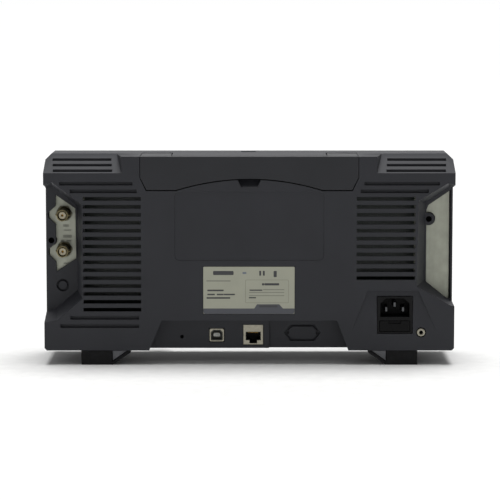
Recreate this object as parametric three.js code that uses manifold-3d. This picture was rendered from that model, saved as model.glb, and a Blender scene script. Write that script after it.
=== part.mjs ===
import * as THREE from 'three';
import { mergeVertices } from 'three/addons/utils/BufferGeometryUtils.js';
import Module from 'manifold-3d';

// Bench function generator, a low wide instrument with a fold-down carrying handle.
// Millimetres. +X is to the right when facing the screen, +Y points to the rear and +Z up.
// The origin is on the table, under the middle of the whole instrument.

// ---------------------------------------------------------------- driving dimensions

const HALF_WIDTH = 170;
const REAR_Y = 45;
const FRONT_Y = -31;
const SEAM_Y = -4;
const BASE_Z = 12;
const TOP_Z = 173.2;
const WALL = 2.4;
const FRONT_PLATE = 3;
const GAP = 0.3;
const TOP_CHAMFER = 4;
const BASE_CHAMFER = 2;

// Rear corner slopes, cut down from the top beside the middle block.
const SLOPE = { topY: 10, lowZ: 159.6, innerTopX: 110.8, innerLowX: 105.2 };
const SLOPE_SLOTS = { count: 3, x0: 115, x1: 164, firstY: 18.2, pitchY: 10, length: 4.6 };

// Side pockets, open to the side and to the rear. Each has an outline at the rear face
// and a smaller one at its floor, and a sheet-metal window in the floor.
const POCKET_FLOOR_Y = 20;
const FLOOR_THICKNESS = 2.5;
const OUTSIDE_X = 176;
const LEFT_POCKET = {
  rear: [[OUTSIDE_X, 148], [163, 152], [138, 134], [138, 55.5], [159, 37.6], [OUTSIDE_X, 34]],
  floor: [[OUTSIDE_X, 144], [164, 146.5], [144, 131], [144, 59.5], [162, 44], [OUTSIDE_X, 40.5]],
  window: [
    [161.7, 139.5], [145.4, 128.1], [145, 86], [161.3, 75], [161.7, 83], [168, 89.7], [168, 93.9],
    [161.8, 98.9], [161.8, 115], [168, 120.5], [168, 124.7], [161.8, 130.1],
  ],
};
const RIGHT_POCKET = {
  rear: [[-OUTSIDE_X, 148], [-164, 151.3], [-139.6, 136.7], [-138.4, 65.5], [-166.8, 49.7], [-OUTSIDE_X, 47]],
  floor: [
    [-OUTSIDE_X, 145], [-167, 146.4], [-147.4, 133.4], [-146.4, 67.6], [-168.4, 50.6], [-OUTSIDE_X, 48.5],
  ],
  window: [[-168.4, 143.8], [-149.6, 131], [-148, 127], [-148, 66.6], [-165.8, 52.4], [-168.4, 52.4]],
};
const KNOCKOUT = { x: 156.2, z: 63.7, outer: 5.3, inner: 3.6, depth: 3.4 };

// Cooling slots through the rear face, and shorter grooves that carry the pattern on.
const VENT = { height: 3, pitch: 6.586, topZ: 138.4, grooveDepth: 3.4 };
const PAD_THICKNESS = 1.2;
const LEFT_VENT = { count: 15, x0: 89.6, x1: 137.4 };
const RIGHT_VENT = { count: 11, x0: -137.1, x1: -88.8 };
const GROOVES = [
  [96.4, 156.6, 151], [92.9, 148, 144.7], [91.4, 148.4, 39.4], [91.4, 156.6, 32.5],
  [-157, -95, 151], [-148, -92, 144.7],
];

// Handle: a bar across the rear edge on two arms that turn on pins at their front ends.
const HANDLE = {
  halfWidth: 90, armInnerX: 65, barFrontY: 33, lowZ: 145.7, chamferX: 84.8, chamferZ: 156,
  archHalf: 60.5, archZ: 155, armThickness: 9.4, pivotY: 4, clearance: 0.9,
};
const PIVOT_Z = TOP_Z - HANDLE.armThickness / 2;
const PIN_RADIUS = 1.9;
const SCOOP = { topHalf: 10, lowHalf: 6.5, lowZ: 147.5, depth: 9 };
const BACK_PANEL = { halfWidth: 61.7, lowZ: 87, highZ: 144.6, depth: 0.5, corner: 4 };

// Connector bay, open at the bottom, with its sockets.
const BAY = {
  topZ: 37, topX0: -72.8, topX1: 72.6, lowX0: -83, lowX1: 84, floorY: 31, deepY: 28, stepX: -16.5,
};
const USB_B = { x: 27.2, z: 22.9, width: 12.1, height: 11, backY: 14.2 };
const RJ45 = { x: -3.3, z: 23.1, width: 16.4, height: 16.6, backY: 14.2 };
const LOCK_HOLE = { x: 56.2, z: 21.6, radius: 1.5 };
const BLANK = {
  x: -44.4, z: 24.5, halfWidth: 15.1, halfHeight: 6.8, taper: 5, line: 1.5, depth: 3,
  dimple: 1.3, dimpleX: 12.5,
};

// Mains inlet with its fuse drawer, in a shallow ramped panel, and the earth terminal.
const RAMP = { topZ: 62, lowZ: 28, depth: 2, topX0: -140, topX1: -98, lowX0: -155.5, lowX1: -85 };
const INLET = { x: -120.7, lowZ: 26.2, topZ: 57, width: 29, faceY: 44.6, backY: 17, splitZ: 38.2 };
const SOCKET = { width: 24, lowZ: 40, highZ: 55.6, cornerCut: 4.4, floorY: 27 };
const DRAWER = { halfWidth: 12.4, lowZ: 27.9, highZ: 36.7, backY: 21, frontY: 44.6 };
const EARTH = { x: -142.5, z: 27.2, radius: 3.9, hole: 1.4 };

const LABEL = { x0: -37.5, x1: 38.1, z0: 42.7, z1: 82, recess: 0.6, thickness: 0.25 };

// Feet. The rear pair is fixed, with rubber boots; the front pair is the tilt legs.
const FOOT = { outerX: 139.5, blockX: 114, tipX: 98.6, frontY: 24, rearY: 44.8, blockY: 37, strip: 2.3 };
const LEG = { x0: 113, x1: 139, pivotY: -24, pivotZ: 7.5, rearY: 2, topZ: 11.5, hubRadius: 4, trunnion: 2 };
const LUG = { thickness: 3, lowZ: 3.2, frontY: -29, rearY: -19 };

// Inside.
const CHASSIS = { frontY: 15, rearY: 16.5 };
const BNC_REAR = [['bnc_jack_upper', 155, 123.8], ['bnc_jack_lower', 155, 93.6]];
const BNC_HOLE = 6.1;
const BNC_NECK = 5.7;
const JACK = { rearReach: 21, rearFlange: 6.5, frontReach: 13.8, frontFlange: 7.8 };
const SCREWS = [['case_screw_left', 165.6, 101.3, 4.2], ['case_screw_right', -150, 119.3, 5.2]];
const SCREW = { head: 2.2, shank: 1.3, bore: 2.5, seatY: 6, tipY: -15, bossY: -18 };
const BOARD = 1.6;
const KEY_BOARD_Y = -23.4;
const MAIN_BOARD_Y = 11.8;
const SUPPLY_BOARD_Y = 4;

// Front panel: screen on the left, keys, encoder and outputs on the right.
const WINDOW = { x: -68, z: 101, width: 176, height: 130, thickness: 2, frame: 5 };
const KEY = { width: 15, height: 10, proud: 2.2, flange: 1.1, corner: 2, travel: 1.2 };
const SOFT_KEY = { width: 13, height: 8 };
const WIDE_KEY = { width: 24, height: 12 };
const POWER = { x: -150, z: 22, radius: 6 };
const USB_A = { x: -112, z: 22, width: 12.8, height: 5.4, backY: -18 };
const ENCODER = { x: 133, z: 136, bore: 3.3, shaft: 3, bushing: 4.4, half: 6.5 };
const KNOB = { radius: 17, frontY: -45, backY: -32.2, flutes: 24 };
const BNC_FRONT = [['output_jack_1', 78, 30], ['output_jack_2', 132, 30]];
const TOP_CATCH = { x0: -5.5, x1: 7, y0: -22, y1: -14, height: 0.5 };

// ---------------------------------------------------------------- solids from three.js geometry

const wasm = await Module();
wasm.setup();

// A closed three.js geometry as a manifold solid, with its faces pointing out.
function toSolid(geometry) {
  const bare = geometry.clone();
  bare.deleteAttribute('normal');
  bare.deleteAttribute('uv');
  const merged = mergeVertices(bare, 1e-4);
  const index = Array.from(merged.index.array);
  const triangles = [];
  for (let i = 0; i < index.length; i += 3) {
    const [a, b, c] = index.slice(i, i + 3);
    if (a !== b && b !== c && c !== a) triangles.push(a, b, c);
  }
  const build = (list) => new wasm.Manifold(new wasm.Mesh({
    numProp: 3,
    vertProperties: merged.attributes.position.array,
    triVerts: Uint32Array.from(list),
  }));
  const made = build(triangles);
  return made.volume() > 0 ? made : build(triangles.reverse());
}

function toGeometry(solid) {
  const mesh = solid.getMesh();
  const geometry = new THREE.BufferGeometry();
  geometry.setAttribute('position', new THREE.Float32BufferAttribute(mesh.vertProperties, 3));
  geometry.setIndex(Array.from(mesh.triVerts));
  geometry.computeVertexNormals();
  return geometry;
}

const join = (...solids) => solids.reduce((whole, next) => whole.add(next));
const cut = (base, ...tools) => tools.reduce((left, tool) => left.subtract(tool), base);

function flatShape(points) {
  return new THREE.Shape(points.map(([a, b]) => new THREE.Vector2(a, b)));
}

// An outline of (x, z) points carried along Y.
function prismY(points, y0, y1) {
  const geometry = new THREE.ExtrudeGeometry(flatShape(points), { depth: y1 - y0, bevelEnabled: false });
  geometry.rotateX(Math.PI / 2);
  geometry.translate(0, y1, 0);
  return toSolid(geometry);
}

// An outline of (y, z) points carried along X.
function prismX(points, x0, x1) {
  const geometry = new THREE.ExtrudeGeometry(flatShape(points), { depth: x1 - x0, bevelEnabled: false });
  geometry.applyMatrix4(new THREE.Matrix4().set(0, 0, 1, x0, 1, 0, 0, 0, 0, 1, 0, 0, 0, 0, 0, 1));
  return toSolid(geometry);
}

// An outline of (x, y) points carried along Z.
function prismZ(points, z0, z1) {
  const geometry = new THREE.ExtrudeGeometry(flatShape(points), { depth: z1 - z0, bevelEnabled: false });
  geometry.translate(0, 0, z0);
  return toSolid(geometry);
}

function block(x0, x1, y0, y1, z0, z1) {
  const geometry = new THREE.BoxGeometry(x1 - x0, y1 - y0, z1 - z0);
  geometry.translate((x0 + x1) / 2, (y0 + y1) / 2, (z0 + z1) / 2);
  return toSolid(geometry);
}

function rodY(x, z, radius, y0, y1, sides = 16) {
  const geometry = new THREE.CylinderGeometry(radius, radius, y1 - y0, sides);
  geometry.translate(x, (y0 + y1) / 2, z);
  return toSolid(geometry);
}

function rodX(y, z, radius, x0, x1, sides = 16) {
  const geometry = new THREE.CylinderGeometry(radius, radius, x1 - x0, sides);
  geometry.rotateZ(Math.PI / 2);
  geometry.translate((x0 + x1) / 2, y, z);
  return toSolid(geometry);
}

// A profile of (radius, y) points turned round the Y axis through (x, z).
function turnedY(profile, x, z, sides = 20) {
  const geometry = new THREE.LatheGeometry(profile.map(([r, y]) => new THREE.Vector2(r, y)), sides);
  geometry.translate(x, 0, z);
  return toSolid(geometry);
}

// A straight-sided solid between two outlines of the same number of (x, z) points.
function loftY(first, y0, second, y1) {
  const contour = first.map(([x, z]) => new THREE.Vector2(x, z));
  if (THREE.ShapeUtils.isClockWise(contour)) {
    return loftY([...first].reverse(), y0, [...second].reverse(), y1);
  }
  const count = first.length;
  const corners = [...first.map(([x, z]) => [x, y0, z]), ...second.map(([x, z]) => [x, y1, z])];
  const index = [];
  for (let i = 0; i < count; i += 1) {
    const next = (i + 1) % count;
    index.push(i, next, count + next, i, count + next, count + i);
  }
  for (const [a, b, c] of THREE.ShapeUtils.triangulateShape(contour, [])) {
    index.push(c, b, a, a + count, b + count, c + count);
  }
  const geometry = new THREE.BufferGeometry();
  geometry.setAttribute('position', new THREE.Float32BufferAttribute(corners.flat(), 3));
  geometry.setIndex(index);
  return toSolid(geometry);
}

// A rectangle about (x, z) with rounded corners.
function roundedRect(x, z, width, height, radius, steps = 2) {
  const points = [];
  const centres = [[1, 1], [-1, 1], [-1, -1], [1, -1]];
  centres.forEach(([sx, sz], corner) => {
    for (let i = 0; i <= steps; i += 1) {
      const angle = (corner + i / steps) * Math.PI / 2;
      points.push([
        x + sx * (width / 2 - radius) + radius * Math.cos(angle),
        z + sz * (height / 2 - radius) + radius * Math.sin(angle),
      ]);
    }
  });
  return points;
}

const mirrored = (points) => points.map(([x, z]) => [-x, z]).reverse();

// ---------------------------------------------------------------- materials and placing

const finish = (color, roughness, metalness = 0) => ({ color, roughness, metalness });
const FINISHES = {
  casePlastic: finish(0x3a3c41, 0.6),
  frontPlastic: finish(0x3a3c41, 0.6),
  handlePlastic: finish(0x3c3e43, 0.58),
  sheetMetal: finish(0x9a9c92, 0.45, 0.8),
  nickel: finish(0xb8b09a, 0.3, 0.95),
  blackPlastic: finish(0x141416, 0.5),
  rubber: finish(0x121212, 0.85),
  footPlastic: finish(0x55575b, 0.6),
  board: finish(0x1d5a37, 0.5),
  label: finish(0xd4d4c6, 0.5),
  glass: finish(0x101418, 0.12),
  panel: finish(0x20242a, 0.4),
  lightKey: finish(0xd2d4d6, 0.55),
  darkKey: finish(0x4a4d52, 0.55),
  steel: finish(0x8d8f92, 0.35, 0.9),
  brass: finish(0xc2a15a, 0.35, 0.9),
};

const instrument = new THREE.Group();

function place(name, solid, look, x = 0, y = 0, z = 0) {
  const mesh = new THREE.Mesh(toGeometry(solid), new THREE.MeshStandardMaterial(FINISHES[look]));
  mesh.name = name;
  mesh.position.set(x, y, z);
  instrument.add(mesh);
}

// ---------------------------------------------------------------- case outline

const halfOutline = [
  [HALF_WIDTH - BASE_CHAMFER, BASE_Z], [HALF_WIDTH, BASE_Z + BASE_CHAMFER],
  [HALF_WIDTH, TOP_Z - TOP_CHAMFER], [HALF_WIDTH - TOP_CHAMFER, TOP_Z],
];
const caseOutline = [...halfOutline, ...mirrored(halfOutline)];
const innerHalf = [
  [HALF_WIDTH - WALL, BASE_Z + WALL], [HALF_WIDTH - WALL, TOP_Z - TOP_CHAMFER - WALL],
  [HALF_WIDTH - TOP_CHAMFER - WALL, TOP_Z - WALL],
];
const innerOutline = [...innerHalf, ...mirrored(innerHalf)];

// ---------------------------------------------------------------- rear cover

// Everything above the corner slope, lowered by drop; side is 1 on the +X half. Its inner wall runs
// askew, closer to the middle at the rear.
function slopeWedge(side, drop) {
  const high = TOP_Z + 4;
  const run = REAR_Y - SLOPE.topY;
  const rise = TOP_Z - SLOPE.lowZ;
  const plan = [
    [SLOPE.innerTopX - drop, SLOPE.topY - 40], [OUTSIDE_X, SLOPE.topY - 40], [OUTSIDE_X, REAR_Y + 1],
    [SLOPE.innerLowX - drop, REAR_Y + 1], [SLOPE.innerTopX - drop, SLOPE.topY],
  ];
  const plane = [
    [SLOPE.topY - 4 * run / rise, high - drop], [REAR_Y, SLOPE.lowZ - drop], [REAR_Y + 2, SLOPE.lowZ - drop],
    [REAR_Y + 2, high + 4],
  ];
  const points = side > 0 ? plan : mirrored(plan);
  const [x0, x1] = side > 0 ? [SLOPE.innerLowX - 5, OUTSIDE_X] : [-OUTSIDE_X, 5 - SLOPE.innerLowX];
  return prismZ(points, SLOPE.lowZ - 10, high + 3).intersect(prismX(plane, x0, x1));
}

// Slots that run in from the slope, at right angles to the rear face.
function slopeSlots(side) {
  const rise = (TOP_Z - SLOPE.lowZ) / (REAR_Y - SLOPE.topY);
  const slots = [];
  for (let i = 0; i < SLOPE_SLOTS.count; i += 1) {
    const y = SLOPE_SLOTS.firstY + i * SLOPE_SLOTS.pitchY;
    const z = TOP_Z - (y - SLOPE.topY) * rise;
    const shift = 0.9 * i;
    const x0 = side > 0 ? SLOPE_SLOTS.x0 - shift : -SLOPE_SLOTS.x1 + shift;
    const x1 = side > 0 ? SLOPE_SLOTS.x1 - shift : -SLOPE_SLOTS.x0 + shift;
    slots.push(block(x0, x1, y, y + SLOPE_SLOTS.length, z - 8, z + 3));
  }
  return slots;
}

// The handle's outline seen from the rear, grown by a clearance below and half as much at its sides.
function handleOutline(grow) {
  const h = HANDLE;
  const points = [[h.halfWidth + grow / 2, TOP_Z + 2 * grow], [h.halfWidth + grow / 2, h.chamferZ - grow / 3],
    [h.chamferX + grow / 2, h.lowZ - grow], [h.archHalf, h.lowZ - grow]];
  const steps = 8;
  for (let i = 1; i < steps; i += 1) {
    const x = h.archHalf * (1 - i / steps);
    points.push([x, h.archZ - grow - (h.archZ - h.lowZ) * (x / h.archHalf) ** 2]);
  }
  return [...points, [0, h.archZ - grow], ...mirrored(points)];
}

function armProfile(grow) {
  const radius = HANDLE.armThickness / 2 + grow;
  const points = [];
  for (let i = 0; i <= 8; i += 1) {
    const angle = Math.PI / 2 + i * Math.PI / 8;
    points.push([HANDLE.pivotY + radius * Math.cos(angle), PIVOT_Z + radius * Math.sin(angle)]);
  }
  return [...points, [HANDLE.barFrontY + 1, PIVOT_Z - radius], [HANDLE.barFrontY + 1, PIVOT_Z + radius]];
}

function handleSpace(grow) {
  const bar = prismY(handleOutline(grow), HANDLE.barFrontY - grow, REAR_Y + 1);
  const inner = HANDLE.armInnerX - grow;
  const outer = HANDLE.halfWidth + grow / 2;
  const slot = (x0, x1) => join(
    prismX(armProfile(grow), x0, x1),
    block(x0, x1, HANDLE.pivotY - HANDLE.armThickness / 2 - grow, REAR_Y, PIVOT_Z, TOP_Z + 3),
  );
  return join(bar, slot(inner, outer), slot(-outer, -inner));
}

function bayOutline(grow) {
  return [
    [BAY.lowX1 + grow, BASE_Z - 2], [BAY.topX1 + grow, BAY.topZ + grow],
    [BAY.topX0 - grow, BAY.topZ + grow], [BAY.lowX0 - grow, BASE_Z - 2],
  ];
}

function baySpace(grow) {
  const shallow = prismY(bayOutline(grow), BAY.floorY - grow, REAR_Y + 1);
  const deep = prismY(bayOutline(grow), BAY.deepY - grow, REAR_Y + 1);
  return shallow.add(deep.intersect(block(-OUTSIDE_X, BAY.stepX + grow, 0, REAR_Y + 1, 0, TOP_Z)));
}

const pocketSpace = (pocket) => loftY(pocket.floor, POCKET_FLOOR_Y, pocket.rear, REAR_Y + 0.01);

function rearCavity() {
  const pocketWall = (pocket, side) => {
    const wall = side * FLOOR_THICKNESS;
    const grow = (points) => points.map(([x, z], i) => {
      const lift = i < 2 ? FLOOR_THICKNESS : i > 3 ? -FLOOR_THICKNESS : 0;
      const inward = i === 0 || i === 5 ? 0 : wall;
      return [x - inward, z + lift];
    });
    return loftY(grow(pocket.floor), POCKET_FLOOR_Y - FLOOR_THICKNESS, grow(pocket.rear), REAR_Y);
  };
  const room = prismY(innerOutline, SEAM_Y - 1, REAR_Y - FLOOR_THICKNESS);
  const rampWall = block(
    RAMP.lowX0 - 2, RAMP.lowX1 + 2, REAR_Y - RAMP.depth - FLOOR_THICKNESS, REAR_Y, 20, 65,
  );
  const arms = [1, -1].map((side) => {
    const x = side * (HANDLE.armInnerX + HANDLE.halfWidth) / 2;
    const half = (HANDLE.halfWidth - HANDLE.armInnerX) / 2 + FLOOR_THICKNESS + 1;
    return block(x - half, x + half, HANDLE.pivotY - 9, REAR_Y, PIVOT_Z - 8, TOP_Z);
  });
  const bar = block(-HANDLE.halfWidth - 3.4, HANDLE.halfWidth + 3.4, HANDLE.barFrontY - 3.4, REAR_Y,
    HANDLE.lowZ - 3, TOP_Z);
  return cut(
    room, pocketWall(LEFT_POCKET, 1), pocketWall(RIGHT_POCKET, -1), slopeWedge(1, FLOOR_THICKNESS),
    slopeWedge(-1, FLOOR_THICKNESS), baySpace(FLOOR_THICKNESS), rampWall, ...arms, bar,
  );
}

function ventCuts({ count, x0, x1 }) {
  const slots = [];
  for (let i = 0; i < count; i += 1) {
    const z = VENT.topZ - i * VENT.pitch;
    slots.push(block(x0, x1, REAR_Y - 4, REAR_Y + 1, z - VENT.height / 2, z + VENT.height / 2));
  }
  return slots;
}

const grooveCuts = GROOVES.map(([x0, x1, z]) => block(
  x0, x1, REAR_Y - VENT.grooveDepth, REAR_Y + 1, z - VENT.height / 2, z + VENT.height / 2,
));

const rampSpace = prismY(
  [[RAMP.topX1, RAMP.topZ], [RAMP.topX0, RAMP.topZ], [RAMP.lowX0, RAMP.lowZ], [RAMP.lowX1, RAMP.lowZ]],
  REAR_Y - RAMP.depth - 1, REAR_Y + 1,
).intersect(prismX(
  [
    [REAR_Y, RAMP.lowZ], [REAR_Y + 2, RAMP.lowZ], [REAR_Y + 2, RAMP.topZ + 1],
    [REAR_Y - RAMP.depth, RAMP.topZ + 1],
  ],
  RAMP.lowX0 - 1, RAMP.lowX1 + 1,
));

// Finger scoop under the handle: deepest at the handle, running out downwards.
const scoopSpace = prismY(
  [
    [-SCOOP.topHalf, HANDLE.archZ], [-SCOOP.lowHalf, SCOOP.lowZ], [SCOOP.lowHalf, SCOOP.lowZ],
    [SCOOP.topHalf, HANDLE.archZ],
  ],
  REAR_Y - SCOOP.depth - 1, REAR_Y + 1,
).intersect(prismX(
  [
    [REAR_Y, SCOOP.lowZ], [REAR_Y + 2, SCOOP.lowZ], [REAR_Y + 2, HANDLE.archZ + 1],
    [REAR_Y - SCOOP.depth, HANDLE.archZ + 1],
  ],
  -SCOOP.topHalf - 1, SCOOP.topHalf + 1,
));

const hexagon = (inset) => {
  const halfWidth = BLANK.halfWidth - inset;
  const halfHeight = BLANK.halfHeight - inset;
  const flat = halfWidth - BLANK.taper;
  return [
    [BLANK.x + halfWidth, BLANK.z], [BLANK.x + flat, BLANK.z + halfHeight],
    [BLANK.x - flat, BLANK.z + halfHeight], [BLANK.x - halfWidth, BLANK.z],
    [BLANK.x - flat, BLANK.z - halfHeight], [BLANK.x + flat, BLANK.z - halfHeight],
  ];
};
const blankGroove = cut(
  prismY(hexagon(0), BAY.deepY - BLANK.depth, REAR_Y),
  prismY(hexagon(BLANK.line), BAY.deepY - BLANK.depth - 1, REAR_Y + 1),
);
const blankDimples = [1, -1].map((side) => rodY(
  BLANK.x + side * BLANK.dimpleX, BLANK.z, BLANK.dimple, BAY.deepY - BLANK.depth, REAR_Y, 12,
));
const knockoutGroove = cut(
  rodY(KNOCKOUT.x, KNOCKOUT.z, KNOCKOUT.outer, POCKET_FLOOR_Y - KNOCKOUT.depth, REAR_Y, 20),
  rodY(KNOCKOUT.x, KNOCKOUT.z, KNOCKOUT.inner, POCKET_FLOOR_Y - KNOCKOUT.depth - 1, REAR_Y + 1, 20),
);

const slip = 2 * GAP;
const socketCut = ({ x, z, width, height }) => block(
  x - width / 2 - GAP, x + width / 2 + GAP, BAY.deepY - 5, REAR_Y + 1,
  z - height / 2 - GAP, z + height / 2 + GAP,
);
const pinReach = { inner: HANDLE.armInnerX - 3.4, outer: HANDLE.halfWidth + 3.4 };
const pinHole = (side) => rodX(
  HANDLE.pivotY, PIVOT_Z, PIN_RADIUS + GAP,
  side > 0 ? pinReach.inner - 1 : -pinReach.outer - 1, side > 0 ? pinReach.outer + 1 : 1 - pinReach.inner,
);

let rearCover = cut(
  prismY(caseOutline, SEAM_Y, REAR_Y),
  rearCavity(),
  pocketSpace(LEFT_POCKET), pocketSpace(RIGHT_POCKET),
  slopeWedge(1, 0), slopeWedge(-1, 0), handleSpace(HANDLE.clearance), baySpace(0), rampSpace,
  scoopSpace,
  prismY(roundedRect(
    0, (BACK_PANEL.lowZ + BACK_PANEL.highZ) / 2, 2 * BACK_PANEL.halfWidth,
    BACK_PANEL.highZ - BACK_PANEL.lowZ, BACK_PANEL.corner,
  ), REAR_Y - BACK_PANEL.depth, REAR_Y + 1),
  block(LABEL.x0 - GAP, LABEL.x1 + GAP, REAR_Y - LABEL.recess, REAR_Y + 1, LABEL.z0 - GAP, LABEL.z1 + GAP),
);
rearCover = join(
  rearCover,
  rodY(EARTH.x, EARTH.z, EARTH.radius + 2, REAR_Y - 9, REAR_Y - 1, 20),
  ...SCREWS.map(([, x, z, radius]) => rodY(x, z, radius, SEAM_Y, POCKET_FLOOR_Y - 0.5, 20)),
  ...GROOVES.map(([x0, x1, z]) => block(
    x0 - PAD_THICKNESS / 2, x1 + PAD_THICKNESS / 2, REAR_Y - VENT.grooveDepth - PAD_THICKNESS, REAR_Y - 1,
    z - VENT.height / 2 - PAD_THICKNESS, z + VENT.height / 2 + PAD_THICKNESS,
  )),
  rodY(
    KNOCKOUT.x, KNOCKOUT.z, KNOCKOUT.outer + PAD_THICKNESS,
    POCKET_FLOOR_Y - KNOCKOUT.depth - PAD_THICKNESS, POCKET_FLOOR_Y - 0.5, 20,
  ),
  prismY(hexagon(-PAD_THICKNESS), BAY.deepY - BLANK.depth - PAD_THICKNESS, BAY.deepY - 0.5),
);
rearCover = cut(
  rearCover,
  ...ventCuts(LEFT_VENT), ...ventCuts(RIGHT_VENT), ...grooveCuts, ...slopeSlots(1), ...slopeSlots(-1),
  cut(
    prismY(LEFT_POCKET.window, POCKET_FLOOR_Y - 5, POCKET_FLOOR_Y + 1),
    rodY(SCREWS[0][1], SCREWS[0][2], SCREWS[0][3], 0, REAR_Y, 20),
  ),
  cut(
    prismY(RIGHT_POCKET.window, POCKET_FLOOR_Y - 5, POCKET_FLOOR_Y + 1),
    rodY(SCREWS[1][1], SCREWS[1][2], SCREWS[1][3], 0, REAR_Y, 20),
  ),
  blankGroove, ...blankDimples, knockoutGroove, socketCut(USB_B), socketCut(RJ45),
  rodY(LOCK_HOLE.x, LOCK_HOLE.z, LOCK_HOLE.radius, BAY.deepY - 5, REAR_Y, 12),
  block(
    INLET.x - INLET.width / 2 - GAP, INLET.x + INLET.width / 2 + GAP, REAR_Y - 12, REAR_Y + 1,
    INLET.lowZ - GAP, INLET.topZ + GAP,
  ),
  rodY(EARTH.x, EARTH.z, EARTH.radius + GAP, REAR_Y - 2.4, REAR_Y + 1, 20),
  rodY(EARTH.x, EARTH.z, 2.5 + GAP, REAR_Y - 12, REAR_Y, 16),
  ...SCREWS.flatMap(([, x, z]) => [
    rodY(x, z, SCREW.bore, SCREW.seatY, POCKET_FLOOR_Y + 1, 16),
    rodY(x, z, SCREW.shank + slip, SEAM_Y - 1, POCKET_FLOOR_Y, 12),
  ]),
  pinHole(1), pinHole(-1),
);
place('rear_cover', rearCover, 'casePlastic');

// ---------------------------------------------------------------- front housing

const keyPlaces = [];
for (let i = 0; i < 5; i += 1) {
  keyPlaces.push({ name: `softkey_${i + 1}`, x: 31, z: 145 - 22 * i, ...SOFT_KEY, look: 'darkKey' });
}
const digitNames = ['7', '8', '9', '4', '5', '6', '1', '2', '3', '0', 'point', 'sign'];
digitNames.forEach((digit, i) => {
  const column = i % 3;
  const row = Math.floor(i / 3);
  keyPlaces.push({ name: `key_${digit}`, x: 60 + 20 * column, z: 108 - 16 * row, ...KEY, look: 'lightKey' });
});
keyPlaces.push({ name: 'key_arrow_left', x: 66, z: 136, ...KEY, look: 'lightKey' });
keyPlaces.push({ name: 'key_arrow_right', x: 90, z: 136, ...KEY, look: 'lightKey' });
keyPlaces.push({ name: 'key_mode', x: 133, z: 100, ...WIDE_KEY, look: 'darkKey' });
keyPlaces.push({ name: 'key_utility', x: 133, z: 78, ...WIDE_KEY, look: 'darkKey' });
keyPlaces.push({ name: 'key_output_1', x: 102, z: 32, ...SOFT_KEY, look: 'lightKey' });
keyPlaces.push({ name: 'key_output_2', x: 156, z: 32, ...SOFT_KEY, look: 'lightKey' });

const plateBack = FRONT_Y + FRONT_PLATE;
const frontLegs = [[1, LEG.x0, LEG.x1], [-1, -LEG.x1, -LEG.x0]];

let frontHousing = cut(
  prismY(caseOutline, FRONT_Y, SEAM_Y - GAP),
  prismY(innerOutline, plateBack, SEAM_Y + 1),
);
frontHousing = join(
  frontHousing,
  block(TOP_CATCH.x0, TOP_CATCH.x1, TOP_CATCH.y0, TOP_CATCH.y1, TOP_Z - 1, TOP_Z + TOP_CATCH.height),
  ...SCREWS.flatMap(([, x, z]) => {
    const [x0, x1] = x > 0 ? [x, HALF_WIDTH - 1] : [1 - HALF_WIDTH, x];
    return [
      rodY(x, z, 4, SCREW.bossY, SEAM_Y - GAP, 16),
      block(x0, x1, SCREW.bossY, SEAM_Y - GAP, z - 1.5, z + 1.5),
    ];
  }),
  ...frontLegs.flatMap(([, x0, x1]) => [x0 - GAP - LUG.thickness - 0.1, x1 + GAP + 0.1].map((x) => block(
    x, x + LUG.thickness, LUG.frontY, LUG.rearY, LUG.lowZ, BASE_Z + 1,
  ))),
);
frontHousing = cut(
  frontHousing,
  prismY(roundedRect(
    WINDOW.x, WINDOW.z, WINDOW.width + slip, WINDOW.height + slip, 4,
  ), FRONT_Y - 1, FRONT_Y + WINDOW.thickness + GAP),
  prismY(roundedRect(
    WINDOW.x, WINDOW.z, WINDOW.width - 2 * WINDOW.frame, WINDOW.height - 2 * WINDOW.frame, 2,
  ), FRONT_Y - 1, plateBack + 1),
  ...keyPlaces.map((key) => prismY(roundedRect(
    key.x, key.z, key.width + slip, key.height + slip, KEY.corner,
  ), FRONT_Y - 1, plateBack + 1)),
  rodY(POWER.x, POWER.z, POWER.radius + GAP, FRONT_Y - 1, plateBack + 1, 20),
  block(
    USB_A.x - USB_A.width / 2 - GAP, USB_A.x + USB_A.width / 2 + GAP, FRONT_Y - 1, plateBack + 1,
    USB_A.z - USB_A.height / 2 - GAP, USB_A.z + USB_A.height / 2 + GAP,
  ),
  rodY(ENCODER.x, ENCODER.z, ENCODER.bushing + GAP, FRONT_Y - 1, plateBack + 1),
  ...BNC_FRONT.map(([, x, z]) => rodY(x, z, BNC_HOLE, FRONT_Y - 1, plateBack + 1)),
  ...SCREWS.map(([, x, z]) => rodY(x, z, SCREW.shank + GAP, SCREW.tipY - 1, SEAM_Y, 12)),
  ...frontLegs.map(([, x0, x1]) => rodX(
    LEG.pivotY, LEG.pivotZ, LEG.trunnion + GAP, x0 - 4, x1 + 4,
  )),
);
place('front_housing', frontHousing, 'frontPlastic');

// ---------------------------------------------------------------- screen and boards

place('display_window', prismY(
  roundedRect(WINDOW.x, WINDOW.z, WINDOW.width, WINDOW.height, 4), FRONT_Y + 0.2, FRONT_Y + WINDOW.thickness,
), 'glass');
place('display_panel', block(
  WINDOW.x - 85, WINDOW.x + 85, plateBack + GAP, plateBack + 8, WINDOW.z - 63, WINDOW.z + 63,
), 'panel');

const keyBoardOutline = [[-160, 15.5], [166, 15.5], [166, 158], [24, 158], [24, 31], [-160, 31]];
place('key_board', cut(
  prismY(keyBoardOutline, KEY_BOARD_Y, KEY_BOARD_Y + BOARD),
  ...BNC_FRONT.map(([, x, z]) => rodY(x, z, BNC_HOLE, KEY_BOARD_Y - 1, KEY_BOARD_Y + 3)),
  rodY(SCREWS[0][1], SCREWS[0][2], 5, KEY_BOARD_Y - 1, KEY_BOARD_Y + 3),
  block(
    USB_A.x - USB_A.width / 2 - GAP, USB_A.x + USB_A.width / 2 + GAP, KEY_BOARD_Y - 1, KEY_BOARD_Y + 3,
    USB_A.z - USB_A.height / 2 - GAP, USB_A.z + USB_A.height / 2 + GAP,
  ),
), 'board');

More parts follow.
